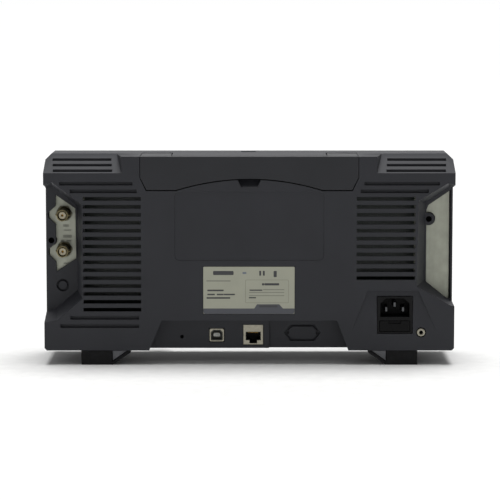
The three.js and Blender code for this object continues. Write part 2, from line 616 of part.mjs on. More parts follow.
const heatSink = [0, 1, 2, 3, 4].map((fin) => block(
  20 + 8 * fin, 23 + 8 * fin, MAIN_BOARD_Y - 12, MAIN_BOARD_Y - 2, 84, 124,
));
place('main_board', join(
  block(-94, 84, MAIN_BOARD_Y, MAIN_BOARD_Y + BOARD, 17, 148),
  block(17, 58, MAIN_BOARD_Y - 3, MAIN_BOARD_Y + 0.5, 82, 126), ...heatSink,
  block(-60, -30, MAIN_BOARD_Y - 2.5, MAIN_BOARD_Y + 0.5, 60, 90),
  block(62, 80, MAIN_BOARD_Y - 2, MAIN_BOARD_Y + 0.5, 50, 68),
), 'board');
const supplyBoardOutline = [[-164, 60], [-87, 60], [-87, 144], [-141, 144], [-141, 108], [-164, 108]];
place('power_supply_board', join(
  prismY(supplyBoardOutline, SUPPLY_BOARD_Y, SUPPLY_BOARD_Y + BOARD),
  block(-156, -126, SUPPLY_BOARD_Y - 18, SUPPLY_BOARD_Y + 0.5, 66, 92),
  rodY(-112, 76, 8, SUPPLY_BOARD_Y - 20, SUPPLY_BOARD_Y + 0.5),
  block(-120, -106, SUPPLY_BOARD_Y - 12, SUPPLY_BOARD_Y + 0.5, 90, 104),
), 'board');

const chassisOutline = [
  [-167.3, 49], [-143, 49], [-143, 66], [144, 66], [144, 72], [167.3, 72], [167.3, 149], [-167.3, 149],
];
place('chassis_plate', cut(
  prismY(chassisOutline, CHASSIS.frontY, CHASSIS.rearY),
  ...[[86, 138], [-138, -86]].map(([x0, x1]) => block(
    x0, x1, CHASSIS.frontY - 1, CHASSIS.rearY + 1, 60, 142,
  )),
  ...BNC_REAR.map(([, x, z]) => rodY(x, z, BNC_HOLE, CHASSIS.frontY - 1, CHASSIS.rearY + 1)),
  ...SCREWS.map(([, x, z, radius]) => rodY(x, z, radius + 0.4, CHASSIS.frontY - 1, CHASSIS.rearY + 1, 20)),
), 'sheetMetal');

// ---------------------------------------------------------------- coaxial jacks

// Profile of a jack from its tail to its mouth: y is measured outward from the panel face.
const jackProfile = (reach, flange) => [
  [0, -12], [1, -12], [1, -8], [BNC_NECK, -8], [BNC_NECK, GAP], [flange, GAP], [flange, 2],
  [BNC_NECK - 0.1, 2.2], [BNC_NECK - 0.1, reach - 13.5], [4.85, reach - 12.5], [4.85, reach], [4.1, reach],
  [4.1, reach - 9], [2.2, reach - 9], [2.2, reach - 3], [0.7, reach - 3], [0.7, reach - 4.6], [0, reach - 4.6],
];
function jack(reach, flange) {
  const lug = (side) => block(side * 5.3 - 0.7, side * 5.3 + 0.7, reach - 6, reach - 4, -1, 1);
  return join(turnedY(jackProfile(reach, flange), 0, 0, 24), lug(1), lug(-1));
}
const rearJack = jack(JACK.rearReach, JACK.rearFlange);
for (const [name, x, z] of BNC_REAR) place(name, rearJack, 'nickel', x, CHASSIS.rearY, z);
const frontJack = jack(JACK.frontReach, JACK.frontFlange).rotate([0, 0, 180]);
for (const [name, x, z] of BNC_FRONT) place(name, frontJack, 'nickel', x, FRONT_Y, z);

// ---------------------------------------------------------------- data sockets

// A metal shell with a closed back and an insulating tongue inside it.
function shellSocket({ x, z, width, height }, backY, mouthY, wall, tongue) {
  const shell = cut(
    block(x - width / 2, x + width / 2, backY, mouthY, z - height / 2, z + height / 2),
    block(x - width / 2 + wall, x + width / 2 - wall, backY + 2, mouthY + 1,
      z - height / 2 + wall, z + height / 2 - wall),
  );
  const [halfWidth, low, high, tipY] = tongue;
  return shell.add(block(x - halfWidth, x + halfWidth, backY + 1, tipY, z + low, z + high));
}
place('usb_b_socket', shellSocket(
  USB_B, USB_B.backY, BAY.floorY - 0.2, 1, [2.8, -1.6, 1.6, BAY.floorY - 2],
), 'nickel');
place('usb_host_port', shellSocket(
  USB_A, FRONT_Y + 0.4, USB_A.backY, 0.5, [5.2, 0.2, 1.9, USB_A.backY - 1],
).rotate([0, 0, 180]).translate([2 * USB_A.x, FRONT_Y + 0.4 + USB_A.backY, 0]), 'nickel');
const rj45Latch = RJ45.z - RJ45.height / 2 + 1.2;
place('rj45_socket', cut(
  block(RJ45.x - RJ45.width / 2, RJ45.x + RJ45.width / 2, RJ45.backY, BAY.floorY - 0.2,
    RJ45.z - RJ45.height / 2, RJ45.z + RJ45.height / 2),
  block(RJ45.x - 6.2, RJ45.x + 6.2, RJ45.backY + 3, BAY.floorY, RJ45.z - 4.4, RJ45.z + 2.4),
  block(RJ45.x - 3.1, RJ45.x + 3.1, RJ45.backY + 3, BAY.floorY, rj45Latch, RJ45.z - 4),
), 'nickel');

// ---------------------------------------------------------------- mains inlet

const socketHalf = SOCKET.width / 2;
const socketOutline = [
  [INLET.x + socketHalf, SOCKET.lowZ], [INLET.x + socketHalf, SOCKET.highZ - SOCKET.cornerCut],
  [INLET.x + socketHalf - SOCKET.cornerCut, SOCKET.highZ],
  [INLET.x - socketHalf + SOCKET.cornerCut, SOCKET.highZ],
  [INLET.x - socketHalf, SOCKET.highZ - SOCKET.cornerCut], [INLET.x - socketHalf, SOCKET.lowZ],
];
const pinPlaces = [[INLET.x + 7, 46], [INLET.x - 7, 46], [INLET.x, 50]];
const pinBlade = ([x, z], grow) => block(x - 1 - grow, x + 1 + grow, 13, 41, z - 2 - grow, z + 2 + grow);
place('inlet_body', cut(
  block(
    INLET.x - INLET.width / 2, INLET.x + INLET.width / 2, INLET.backY, INLET.faceY, INLET.lowZ, INLET.topZ,
  ),
  prismY(socketOutline, SOCKET.floorY, REAR_Y),
  block(INLET.x - DRAWER.halfWidth - GAP, INLET.x + DRAWER.halfWidth + GAP, DRAWER.backY - GAP, REAR_Y,
    DRAWER.lowZ - GAP, DRAWER.highZ + GAP),
  ...pinPlaces.map((pin) => pinBlade(pin, GAP)),
), 'blackPlastic');
place('inlet_pins', join(
  ...pinPlaces.map((pin) => pinBlade(pin, 0)),
  block(INLET.x - 9.5, INLET.x + 9.5, 13, 16.4, 43, 53),
), 'steel');

// Fuse drawer: a tray that pulls out to the rear, with the fuse lying in it.
const fuseZ = (DRAWER.lowZ + DRAWER.highZ) / 2;
const FUSE = { radius: 2.6, halfLength: 10, y: 28 };
place('fuse_drawer', cut(
  block(INLET.x - DRAWER.halfWidth, INLET.x + DRAWER.halfWidth, DRAWER.backY, DRAWER.frontY,
    DRAWER.lowZ, DRAWER.highZ),
  block(INLET.x - FUSE.halfLength - 0.6, INLET.x + FUSE.halfLength + 0.6, FUSE.y - 3.2, FUSE.y + 3.2,
    fuseZ - 3, DRAWER.highZ + 1),
  block(INLET.x - 5, INLET.x + 5, DRAWER.frontY - 1.2, REAR_Y, DRAWER.highZ - 2.4, DRAWER.highZ + 1),
), 'blackPlastic');
place('mains_fuse', rodX(
  FUSE.y, fuseZ, FUSE.radius, INLET.x - FUSE.halfLength, INLET.x + FUSE.halfLength,
), 'steel');

place('earth_terminal', turnedY([
  [0, REAR_Y - 11], [2.5, REAR_Y - 11], [2.5, REAR_Y - 2], [EARTH.radius, REAR_Y - 2],
  [EARTH.radius, REAR_Y - 0.5], [EARTH.radius - 0.4, REAR_Y - 0.1], [EARTH.hole, REAR_Y - 0.1],
  [EARTH.hole, REAR_Y - 8], [0, REAR_Y - 8],
], EARTH.x, EARTH.z, 24), 'brass');

place('rating_label', block(
  LABEL.x0, LABEL.x1, REAR_Y - LABEL.recess + GAP, REAR_Y - LABEL.recess + GAP + LABEL.thickness,
  LABEL.z0, LABEL.z1,
), 'label');

// ---------------------------------------------------------------- handle

const arm = (x0, x1) => prismX(armProfile(0), x0, x1);
const handlePinHole = rodX(
  HANDLE.pivotY, PIVOT_Z, PIN_RADIUS + GAP, -HANDLE.halfWidth - 1, HANDLE.halfWidth + 1,
);
place('handle', cut(
  join(
    prismY(handleOutline(0), HANDLE.barFrontY, REAR_Y),
    arm(HANDLE.armInnerX, HANDLE.halfWidth), arm(-HANDLE.halfWidth, -HANDLE.armInnerX),
  ),
  handlePinHole,
), 'handlePlastic');
for (const [name, side] of [['handle_pin_left', -1], ['handle_pin_right', 1]]) {
  const [x0, x1] = side > 0 ? [pinReach.inner, pinReach.outer] : [-pinReach.outer, -pinReach.inner];
  place(name, rodX(HANDLE.pivotY, PIVOT_Z, PIN_RADIUS, x0, x1), 'steel');
}

// ---------------------------------------------------------------- feet

const footTop = BASE_Z - GAP;
const mirrorIf = (side, points) => (side > 0 ? points : mirrored(points));
const spanX = (side, a, b) => (side > 0 ? [a, b] : [-b, -a]);
for (const [suffix, side] of [['left', -1], ['right', 1]]) {
  const web = [
    [FOOT.blockX - 0.4, footTop], [FOOT.tipX + 2.8, footTop], [FOOT.blockX - 0.4, FOOT.strip + 0.9],
  ];
  const core = [
    [FOOT.outerX - 0.2, footTop], [FOOT.blockX - 0.4, footTop], [FOOT.blockX - 0.4, FOOT.strip + 0.9],
    [FOOT.blockX + 0.4, FOOT.strip + GAP], [FOOT.outerX - 0.2, FOOT.strip + GAP],
  ];
  place(`rear_foot_${suffix}`, join(
    prismY(mirrorIf(side, core), FOOT.frontY, FOOT.blockY - GAP),
    prismY(mirrorIf(side, web), FOOT.frontY, FOOT.rearY - 1.3),
  ), 'footPlastic');
  const strip = [
    [FOOT.outerX, 0], [FOOT.outerX, FOOT.strip], [FOOT.blockX + 0.1, FOOT.strip], [FOOT.tipX + 2, footTop],
    [FOOT.tipX, footTop], [FOOT.tipX, footTop - 1.4], [FOOT.blockX - 0.6, 0],
  ];
  const [bx0, bx1] = spanX(side, FOOT.blockX, FOOT.outerX);
  place(`rear_foot_boot_${suffix}`, join(
    prismY(mirrorIf(side, strip), FOOT.frontY, FOOT.rearY),
    block(bx0, bx1, FOOT.blockY, FOOT.rearY, 0, footTop),
  ), 'rubber');
}

const hub = [];
for (let i = 0; i <= 8; i += 1) {
  const angle = Math.PI / 2 + i * 1.15 * Math.PI / 8;
  hub.push([LEG.pivotY + LEG.hubRadius * Math.cos(angle), LEG.pivotZ + LEG.hubRadius * Math.sin(angle)]);
}
const legProfile = [
  ...hub, [LEG.pivotY + 5, 0], [LEG.rearY - 4, 0], [LEG.rearY, 4], [LEG.rearY, LEG.topZ],
];
for (const [suffix, side] of [['left', -1], ['right', 1]]) {
  const [x0, x1] = spanX(side, LEG.x0, LEG.x1);
  place(`tilt_leg_${suffix}`, join(
    prismX(legProfile, x0, x1),
    rodX(LEG.pivotY, LEG.pivotZ, LEG.trunnion, x0 - 3, x1 + 3),
  ), 'rubber');
}

// ---------------------------------------------------------------- case screws

for (const [name, x, z] of SCREWS) {
  place(name, cut(
    join(
      rodY(0, 0, SCREW.head, SCREW.seatY + GAP, SCREW.seatY + 2.6),
      rodY(0, 0, SCREW.shank, SCREW.tipY, SCREW.seatY + 1, 12),
    ),
    block(-1.6, 1.6, SCREW.seatY + 1.4, SCREW.seatY + 3, -0.4, 0.4),
    block(-0.4, 0.4, SCREW.seatY + 1.4, SCREW.seatY + 3, -1.6, 1.6),
  ), 'steel', x, 0, z);
}

// ---------------------------------------------------------------- keys, power button and encoder

const capFront = FRONT_Y - KEY.proud;
const flangeFront = plateBack + 0.4;
const flangeBack = flangeFront + KEY.flange;
const stemEnd = KEY_BOARD_Y - KEY.travel - GAP;

function keySolid(width, height) {
  return join(
    prismY(roundedRect(0, 0, width, height, KEY.corner), capFront, flangeFront + 0.5),
    block(-width / 2 - 0.9, width / 2 + 0.9, flangeFront, flangeBack, -height / 2 - 0.9, height / 2 + 0.9),
    block(-2, 2, flangeBack - 0.5, stemEnd, -2, 2),
  );
}
for (const key of keyPlaces) {
  place(key.name, keySolid(key.width, key.height), key.look, key.x, 0, key.z);
}
place('power_button', join(
  rodY(0, 0, POWER.radius, capFront, flangeFront + 0.5, 20),
  rodY(0, 0, POWER.radius + 1.2, flangeFront, flangeBack, 20),
  block(-2, 2, flangeBack - 0.5, stemEnd, -2, 2),
), 'lightKey', POWER.x, 0, POWER.z);

const shaftEnd = -27.2;
const plunger = { frontY: -26.9, backY: -25.9 };
place('encoder_body', cut(
  join(
    block(-ENCODER.half, ENCODER.half, plateBack + GAP, KEY_BOARD_Y - GAP, -ENCODER.half, ENCODER.half),
    rodY(0, 0, ENCODER.bushing, FRONT_Y - 0.5, plateBack + 1),
  ),
  rodY(0, 0, ENCODER.bore, FRONT_Y - 2, plunger.backY + 0.9),
), 'steel', ENCODER.x, 0, ENCODER.z);
place('encoder_plunger', rodY(0, 0, ENCODER.shaft, plunger.frontY, plunger.backY), 'blackPlastic',
  ENCODER.x, 0, ENCODER.z);
place('encoder_shaft', rodY(0, 0, ENCODER.shaft, KNOB.frontY + 4, shaftEnd), 'steel', ENCODER.x, 0, ENCODER.z);
place('knob', turnedY([
  [0, KNOB.frontY], [KNOB.radius - 2, KNOB.frontY], [KNOB.radius, KNOB.frontY + 2], [KNOB.radius, KNOB.backY],
  [ENCODER.bore, KNOB.backY], [ENCODER.bore, KNOB.frontY + 3.7], [0, KNOB.frontY + 3.7],
], 0, 0, KNOB.flutes), 'darkKey', ENCODER.x, 0, ENCODER.z);

export default instrument;
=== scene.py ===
"""Bench function generator: every piece of its visual model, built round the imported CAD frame.

Laid out as a Blender add-on and run as a script. Lengths are in metres, with MM for millimetres.
+Y is the rear of the instrument, +Z is up and +X is to the right when facing its screen.
"""

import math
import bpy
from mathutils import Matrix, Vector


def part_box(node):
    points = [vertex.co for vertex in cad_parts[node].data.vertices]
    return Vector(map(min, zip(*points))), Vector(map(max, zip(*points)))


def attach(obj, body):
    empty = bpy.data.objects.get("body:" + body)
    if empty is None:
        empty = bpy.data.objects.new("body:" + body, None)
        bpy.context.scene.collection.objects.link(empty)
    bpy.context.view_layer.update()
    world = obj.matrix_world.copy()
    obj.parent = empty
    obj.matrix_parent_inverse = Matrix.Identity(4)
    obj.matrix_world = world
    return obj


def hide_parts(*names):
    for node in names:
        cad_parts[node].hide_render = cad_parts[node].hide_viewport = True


bl_info = {
    "name": "Function Generator Builder",
    "version": (1, 0, 0),
    "blender": (4, 5, 0),
    "location": "View3D > Sidebar > Instrument",
    "description": "Builds a wide bench function generator with its handle, sockets and keypad",
    "category": "Add Mesh",
}

import bmesh
import bpy
import numpy as np
from mathutils import Vector

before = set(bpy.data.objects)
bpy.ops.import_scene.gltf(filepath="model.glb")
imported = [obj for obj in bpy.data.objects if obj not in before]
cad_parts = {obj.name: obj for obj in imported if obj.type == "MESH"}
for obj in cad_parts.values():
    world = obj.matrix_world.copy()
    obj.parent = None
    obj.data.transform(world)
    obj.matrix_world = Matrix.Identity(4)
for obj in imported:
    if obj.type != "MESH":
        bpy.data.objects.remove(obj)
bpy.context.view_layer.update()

MM = 0.001
FRONT_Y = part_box("front_housing")[0].y
TAU = 2 * math.pi


# ---------------------------------------------------------------- colours

def linear(hex_colour):
    """An sRGB hex colour such as #3b3d42 as linear red, green, blue."""
    parts = [int(hex_colour[i:i + 2], 16) / 255 for i in (1, 3, 5)]
    return tuple(c / 12.92 if c <= 0.04045 else ((c + 0.055) / 1.055) ** 2.4 for c in parts)


def opaque(colour):
    return (*tuple(colour)[:3], 1.0)


def toned(colour, factor):
    """A colour made lighter or darker by a factor."""
    return tuple(min(1.0, c * factor) for c in tuple(colour)[:3])


# ---------------------------------------------------------------- what a user can change

def colour_property(name, description, hex_colour):
    return bpy.props.FloatVectorProperty(
        name=name, description=description, subtype="COLOR", size=3, min=0, max=1,
        default=linear(hex_colour),
    )


def length_property(name, description, default):
    return bpy.props.FloatProperty(
        name=name, description=description, unit="LENGTH", subtype="DISTANCE", min=0, default=default
    )


class CaseSettings(bpy.types.PropertyGroup):
    """Looks of the moulded case and its handle."""

    plastic: colour_property("Case plastic", "Colour of the moulded ABS shells", "#2c2d32")
    handle: colour_property("Handle plastic", "Colour of the moulded handle", "#292a2e")
    edge: length_property("Edge radius", "Radius left on the moulded edges", 0.6 * MM)
    handle_edge: length_property("Handle edge radius", "Radius left on the handle's edges", 1.0 * MM)
    grain: length_property("Grain size", "Size of one pit of the spark-eroded mould grain", 0.45 * MM)


class MetalSettings(bpy.types.PropertyGroup):
    """Looks of the sheet steel, jacks and terminals."""

    sheet: colour_property("Sheet steel", "Colour of the zinc-plated chassis sheet", "#a5a79b")
    nickel: colour_property("Nickel", "Colour of the nickel plating on jacks and sockets", "#9c988a")
    # The jack colour is a tarnished olive, darkened further as painted shade and painted dark reflection.
    jack: colour_property("Jack plating", "Colour of the tarnished plating on the coaxial jacks", "#857b5c")
    gold: colour_property("Gold", "Colour of the gold-flashed contacts", "#d2a54c")
    steel: colour_property("Steel", "Colour of pins and screws", "#85878a")


class FrontSettings(bpy.types.PropertyGroup):
    """Looks of the keys, knob and screen."""

    light_key: colour_property("Light keys", "Colour of the light grey keys", "#a4a8ad")
    dark_key: colour_property("Dark keys", "Colour of the dark grey keys and knob", "#1d1f23")
    legend: colour_property("Legends", "Colour of the printing beside and on the keys", "#e6e8ea")
    screen: colour_property("Screen", "Colour of the unlit screen", "#0c0f14")
    dish: length_property("Key dish", "Depth of the finger dish in each key", 0.35 * MM)


class StageSettings(bpy.types.PropertyGroup):
    """Camera and light of the studio shot."""

    distance: length_property("Camera distance", "From the camera to the middle of the instrument", 2.0)
    elevation: bpy.props.FloatProperty(
        name="Camera elevation", description="Angle of the view above the table", subtype="ANGLE",
        unit="ROTATION", default=math.radians(6.3),
    )
    lens: bpy.props.FloatProperty(
        name="Lens", description="Focal length of the camera", subtype="DISTANCE_CAMERA", default=170.3,
    )
    floor: colour_property("Floor", "Colour of the plain pale floor", "#efefee")
    ambient: bpy.props.FloatProperty(
        name="Ambient light", description="Strength of the even light from all round", min=0, default=0.25,
    )
    key_light: bpy.props.FloatProperty(
        name="Key light", description="Strength of the broad light from above", min=0, default=3.15,
    )
    back_light: bpy.props.FloatProperty(
        name="Back light", description="Watts of the low soft panel beyond the front", min=0, default=75,
    )


# ---------------------------------------------------------------- node trees

def add_node(tree, kind, settings=None, links=None):
    """Adds one node: settings are its values by input or attribute name, links its inputs' sources."""
    node = tree.nodes.new(kind)
    for key, value in (settings or {}).items():
        if key in node.inputs:
            node.inputs[key].default_value = value
        else:
            setattr(node, key, value)
    for key, source in (links or {}).items():
        tree.links.new(source, node.inputs[key])
    return node


def new_material(name, colour, roughness, metallic=0.0, ior=1.5, specular=0.5):
    """A material with one Principled shader; returns it with its tree, shader and object coordinates."""
    material = bpy.data.materials.new(name)
    material.use_nodes = True
    tree = material.node_tree
    shader = tree.nodes["Principled BSDF"]
    shader.inputs["Base Color"].default_value = opaque(colour)
    shader.inputs["Roughness"].default_value = roughness
    shader.inputs["Metallic"].default_value = metallic
    shader.inputs["IOR"].default_value = ior
    shader.inputs["Specular IOR Level"].default_value = specular
    place = add_node(tree, "ShaderNodeTexCoord").outputs["Object"]
    return material, tree, shader, place


def noise(tree, place, size, detail=2.0, stretch=(1, 1, 1)):
    """Noise whose blobs are about size metres across, longer where stretch is under 1."""
    mapped = add_node(tree, "ShaderNodeMapping", {"Scale": stretch}, {"Vector": place}).outputs[0]
    return add_node(
        tree, "ShaderNodeTexNoise", {"Scale": 1 / size, "Detail": detail, "Roughness": 0.55},
        {"Vector": mapped},
    ).outputs["Fac"]


def vary_colour(tree, shader, factor, dark, light, low=0.3, high=0.7):
    """Runs the base colour from dark to light as factor goes from low to high."""
    ramp = add_node(tree, "ShaderNodeValToRGB", links={"Fac": factor})
    ramp.color_ramp.elements[0].position = low
    ramp.color_ramp.elements[0].color = opaque(dark)
    ramp.color_ramp.elements[1].position = high
    ramp.color_ramp.elements[1].color = opaque(light)
    tree.links.new(ramp.outputs["Color"], shader.inputs["Base Color"])


def vary_roughness(tree, shader, factor, low, high):
    span = add_node(tree, "ShaderNodeMapRange", {"To Min": low, "To Max": high}, {"Value": factor})
    tree.links.new(span.outputs["Result"], shader.inputs["Roughness"])


def raise_bump(tree, shader, height, distance, strength=1.0, edge=0.0):
    """Raises the surface by height; edge is the radius of the soft light along its edges."""
    bump = add_node(
        tree, "ShaderNodeBump", {"Distance": distance, "Strength": strength}, {"Height": height}
    )
    if edge > 0:
        rounded = add_node(tree, "ShaderNodeBevel", {"samples": 6, "Radius": edge})
        tree.links.new(rounded.outputs["Normal"], bump.inputs["Normal"])
    tree.links.new(bump.outputs["Normal"], shader.inputs["Normal"])


# ---------------------------------------------------------------- materials

def moulded_abs(name, colour, grain, edge=0.6 * MM):
    """ABS, injection moulded in a spark-eroded tool: an even satin surface with a fine leathery grain.

    The real grain is about 0.1 mm; it is drawn a few times coarser so that it shows. The tool's edges
    are broken by a small radius, which catches the light.
    """
    material, tree, shader, place = new_material(name, colour, 0.5, ior=1.53, specular=0.3)
    pits = noise(tree, place, grain, 3.0)
    cloud = noise(tree, place, 40 * MM, 2.0)
    vary_colour(tree, shader, cloud, toned(colour, 0.93), toned(colour, 1.07))
    vary_roughness(tree, shader, pits, 0.44, 0.62)
    raise_bump(tree, shader, pits, 0.035 * MM, 0.8, edge)
    return material


def plated_sheet(name, colour):
    """Zinc-plated steel sheet, rolled: dull silver with faint rolling lines and a cloudy passivation."""
    material, tree, shader, place = new_material(name, colour, 0.45, metallic=1.0)
    lines = noise(tree, place, 1.2 * MM, 4.0, (1, 1, 0.04))
    cloud = noise(tree, place, 14 * MM, 3.0)
    vary_colour(tree, shader, cloud, toned(colour, 0.86), toned(colour, 1.08))
    vary_roughness(tree, shader, lines, 0.38, 0.6)
    raise_bump(tree, shader, lines, 0.02 * MM, 0.6)
    return material


def plated_metal(name, colour, roughness, worn=0.8):
    """Turned and plated brass: bright, with fine turning marks and small dull patches where it is handled."""
    material, tree, shader, place = new_material(name, colour, roughness, metallic=1.0)
    marks = noise(tree, place, 0.5 * MM, 2.0, (1, 0.1, 1))
    patches = noise(tree, place, 3 * MM, 3.0)
    vary_colour(tree, shader, patches, toned(colour, worn), colour)
    vary_roughness(tree, shader, marks, roughness * 0.7, roughness * 1.4)
    raise_bump(tree, shader, marks, 0.01 * MM, 0.5)
    return material


def moulded_nylon(name, colour, roughness=0.42, specular=0.3):
    """Glass-filled nylon, moulded: near black with a dull gloss and a slight swirl."""
    material, tree, shader, place = new_material(name, colour, roughness, ior=1.53, specular=specular)
    swirl = noise(tree, place, 2 * MM, 3.0)
    vary_colour(tree, shader, swirl, toned(colour, 0.85), toned(colour, 1.25))
    vary_roughness(tree, shader, swirl, roughness * 0.8, roughness * 1.3)
    raise_bump(tree, shader, noise(tree, place, 0.4 * MM), 0.02 * MM, 0.6)
    return material


def moulded_rubber(name, colour):
    """Nitrile rubber, compression moulded: matt black with a soft coarse skin that picks up dust."""
    material, tree, shader, place = new_material(name, colour, 0.82, ior=1.52, specular=0.25)
    dust = noise(tree, place, 5 * MM, 4.0)
    skin = noise(tree, place, 0.5 * MM, 2.0)
    vary_colour(tree, shader, dust, colour, toned(colour, 1.9), 0.45, 0.8)
    vary_roughness(tree, shader, skin, 0.72, 0.92)
    raise_bump(tree, shader, skin, 0.05 * MM, 0.8)
    return material


def printed_film(name, colour, roughness=0.45):
    """Polyester film, printed: flat colour under a satin lamination with a faint orange peel."""
    material, tree, shader, place = new_material(name, colour, roughness, ior=1.57)
    peel = noise(tree, place, 1.5 * MM, 2.0)
    vary_colour(tree, shader, noise(tree, place, 12 * MM), toned(colour, 0.96), toned(colour, 1.02))
    vary_roughness(tree, shader, peel, roughness * 0.85, roughness * 1.2)
    raise_bump(tree, shader, peel, 0.01 * MM, 0.4)
    return material


def circuit_board(name, colour):
    """Glass-epoxy laminate under green solder mask: glossy, with darker tracks below the mask. The mask's
    green is darkened nearly to black as painted shade inside the case.
    """
    material, tree, shader, place = new_material(name, colour, 0.3, ior=1.55)
    tracks = add_node(
        tree, "ShaderNodeTexBrick",
        {
            "Scale": 1 / (6 * MM), "Color1": opaque(colour), "Color2": opaque(toned(colour, 1.15)),
            "Mortar": opaque(toned(colour, 1.8)), "Mortar Size": 0.05,
        },
        {"Vector": place},
    )
    tree.links.new(tracks.outputs["Color"], shader.inputs["Base Color"])
    vary_roughness(tree, shader, noise(tree, place, 2 * MM), 0.22, 0.42)
    raise_bump(tree, shader, tracks.outputs["Fac"], 0.03 * MM, 0.5)
    return material


def clear_acrylic(name, colour):
    """Smoked acrylic window, cast: a dark polished sheet with a hard anti-scratch gloss."""
    material, tree, shader, place = new_material(name, colour, 0.08, ior=1.49)
    smear = noise(tree, place, 30 * MM, 4.0)
    vary_roughness(tree, shader, smear, 0.05, 0.14)
    shader.inputs["Coat Weight"].default_value = 0.5
    shader.inputs["Coat Roughness"].default_value = 0.05
    return material


def build_materials(scene):
    """All finishes of the instrument, by the name that the operators use."""
    case, metal, front = scene.case_settings, scene.metal_settings, scene.front_settings
    grain = case.grain
    return {
        "case": moulded_abs("abs_case_grained", tuple(case.plastic), grain, case.edge),
        "handle": moulded_abs("abs_handle_grained", tuple(case.handle), grain, case.edge),
        "foot": moulded_abs("abs_foot_grey", linear("#6d6e72"), grain),
        "sheet": plated_sheet("zinc_plated_sheet_steel", tuple(metal.sheet)),
        "nickel": plated_metal("nickel_plated_brass", tuple(metal.nickel), 0.28),
        # Jack shells: tarnished olive, darkened further as painted shade and painted dark reflection.
        "jack": plated_metal("jack_plating_tarnish_and_painted_shade", tuple(metal.jack), 0.32, 0.6),
        # Jack nuts: nickel darkened to an olive tone as painted shade and painted dark reflection.
        "nut": plated_metal("nickel_plating_dull_and_painted_shade", linear("#96927c"), 0.4, 0.75),
        # Inlet blades: nickel coloured dark grey as painted shade inside the socket.
        "pin": plated_metal("nickel_blade_painted_shade", linear("#5f6062"), 0.35),
        # Black oxide on the case screws; the same near black lines the earth socket's bore as painted shade.
        "black_oxide_and_bore_shade": plated_metal("black_oxide_steel_and_painted_bore_shade", linear("#151516"), 0.5),
        "gold": plated_metal("gold_flashed_contact", tuple(metal.gold), 0.25),
        "steel": plated_metal("machined_steel", tuple(metal.steel), 0.35),
        "black": moulded_nylon("nylon_black_moulded", linear("#131314"), 0.5, 0.14),
        "drawer": moulded_nylon("nylon_drawer_black", linear("#0d0d0e"), 0.5, 0.12),
        "grey": moulded_nylon("nylon_socket_grey", linear("#454540"), 0.5),
        "tongue": moulded_nylon("nylon_tongue_pale", linear("#b4b5b0")),
        "ptfe": moulded_nylon("ptfe_white_turned", linear("#aea68f"), 0.5),
        "rubber": moulded_rubber("nitrile_rubber_moulded", linear("#151516")),
        "label": printed_film("polyester_label_pale", linear("#a9aa99")),
        "ink": printed_film("label_ink_dark", linear("#36373a")),
        "ink_soft": printed_film("label_ink_grey", linear("#84867a")),
        "ink_stripe": printed_film("label_ink_slate", linear("#494b53")),
        "ink_accent": printed_film("label_ink_blue_grey", linear("#6c7683")),
        "light_key": moulded_abs("abs_key_light", tuple(front.light_key), grain),
        "dark_key": moulded_abs("abs_key_dark", tuple(front.dark_key), grain),
        "legend": printed_film("pad_printed_legend", tuple(front.legend)),
        "dark_legend": printed_film("pad_printed_legend_dark", linear("#26282c")),
        "window": clear_acrylic("smoked_acrylic_window", tuple(front.screen)),
        "panel": moulded_nylon("lcd_module_frame", linear("#1d2025")),
        # Board colour: solder mask darkened nearly to black as painted shade inside the case.
        "board": circuit_board("glass_epoxy_board_painted_shade", linear("#12211a")),
        "screen_off": clear_acrylic("lcd_cell_unlit", linear("#0e131a")),
        "floor": printed_film("studio_floor_paper", tuple(scene.stage_settings.floor), 0.9),
    }


# ---------------------------------------------------------------- surfaces worked out with numpy

def rounded_loop(width, height, corner, steps=6):
    """Points (x, z) of a rectangle about the origin whose four corners are quarter circles, anticlockwise."""
    quarter = np.linspace(0, math.pi / 2, steps)
    angles = (np.arange(4)[:, None] * math.pi / 2 + quarter[None, :]).ravel()
    signs = np.repeat(np.array([[1, 1], [-1, 1], [-1, -1], [1, -1]]), steps, axis=0)
    centres = signs * np.array([width / 2 - corner, height / 2 - corner])
    return centres + corner * np.stack([np.cos(angles), np.sin(angles)], axis=1)


def skin(name, rings, closed=False):
    """A closed mesh through rings of points, an array (ring, point, xyz).

    Each ring is joined to the next by quads. The end rings are filled, unless closed joins them.
    """
    rings = np.asarray(rings, float)
    count, around, _ = rings.shape
    rows = np.arange(count if closed else count - 1)
    a = rows[:, None] * around + np.arange(around)[None, :]
    b = rows[:, None] * around + (np.arange(around)[None, :] + 1) % around
    up = ((rows + 1) % count * around)[:, None]
    c = up + (np.arange(around)[None, :] + 1) % around
    d = up + np.arange(around)[None, :]
    faces = np.stack([a, b, c, d], axis=2).reshape(-1, 4).tolist()
    if not closed:
        faces.append(list(range(around))[::-1])
        faces.append([(count - 1) * around + i for i in range(around)])
    mesh = bpy.data.meshes.new(name)
    mesh.from_pydata(rings.reshape(-1, 3).tolist(), [], faces)
    work = bmesh.new()
    work.from_mesh(mesh)
    bmesh.ops.remove_doubles(work, verts=work.verts, dist=1e-7)
    bmesh.ops.recalc_face_normals(work, faces=work.faces)
    work.to_mesh(mesh)
    work.free()
    return mesh


def turned(name, profile, centre, segments=48, facing=1, swell=None):
    """A profile of (radius, y) points in mm turned round the Y axis through centre, in metres.

    facing -1 turns the profile towards -Y. swell(angle, radius) gives a factor for each radius.
    """
    profile = np.asarray(profile, float) * MM
    angles = np.linspace(0, TAU, segments, endpoint=False)
    radius = np.repeat(profile[:, :1], segments, axis=1)
    if swell is not None:
        radius = radius * swell(angles[None, :], radius)
    along = np.repeat(facing * profile[:, 1:], segments, axis=1)
    rings = np.stack([radius * np.cos(angles), along, radius * np.sin(angles)], axis=2)
    return skin(name, rings + np.array(centre))


def rounded_profile(half_inset, depth, steps=4):
    """Inset and depth of a quarter-round edge: (inset, y) pairs from the side wall to the face."""
    angle = np.linspace(0, math.pi / 2, steps)
    return np.stack([half_inset * (1 - np.cos(angle)), depth * np.sin(angle)], axis=1)


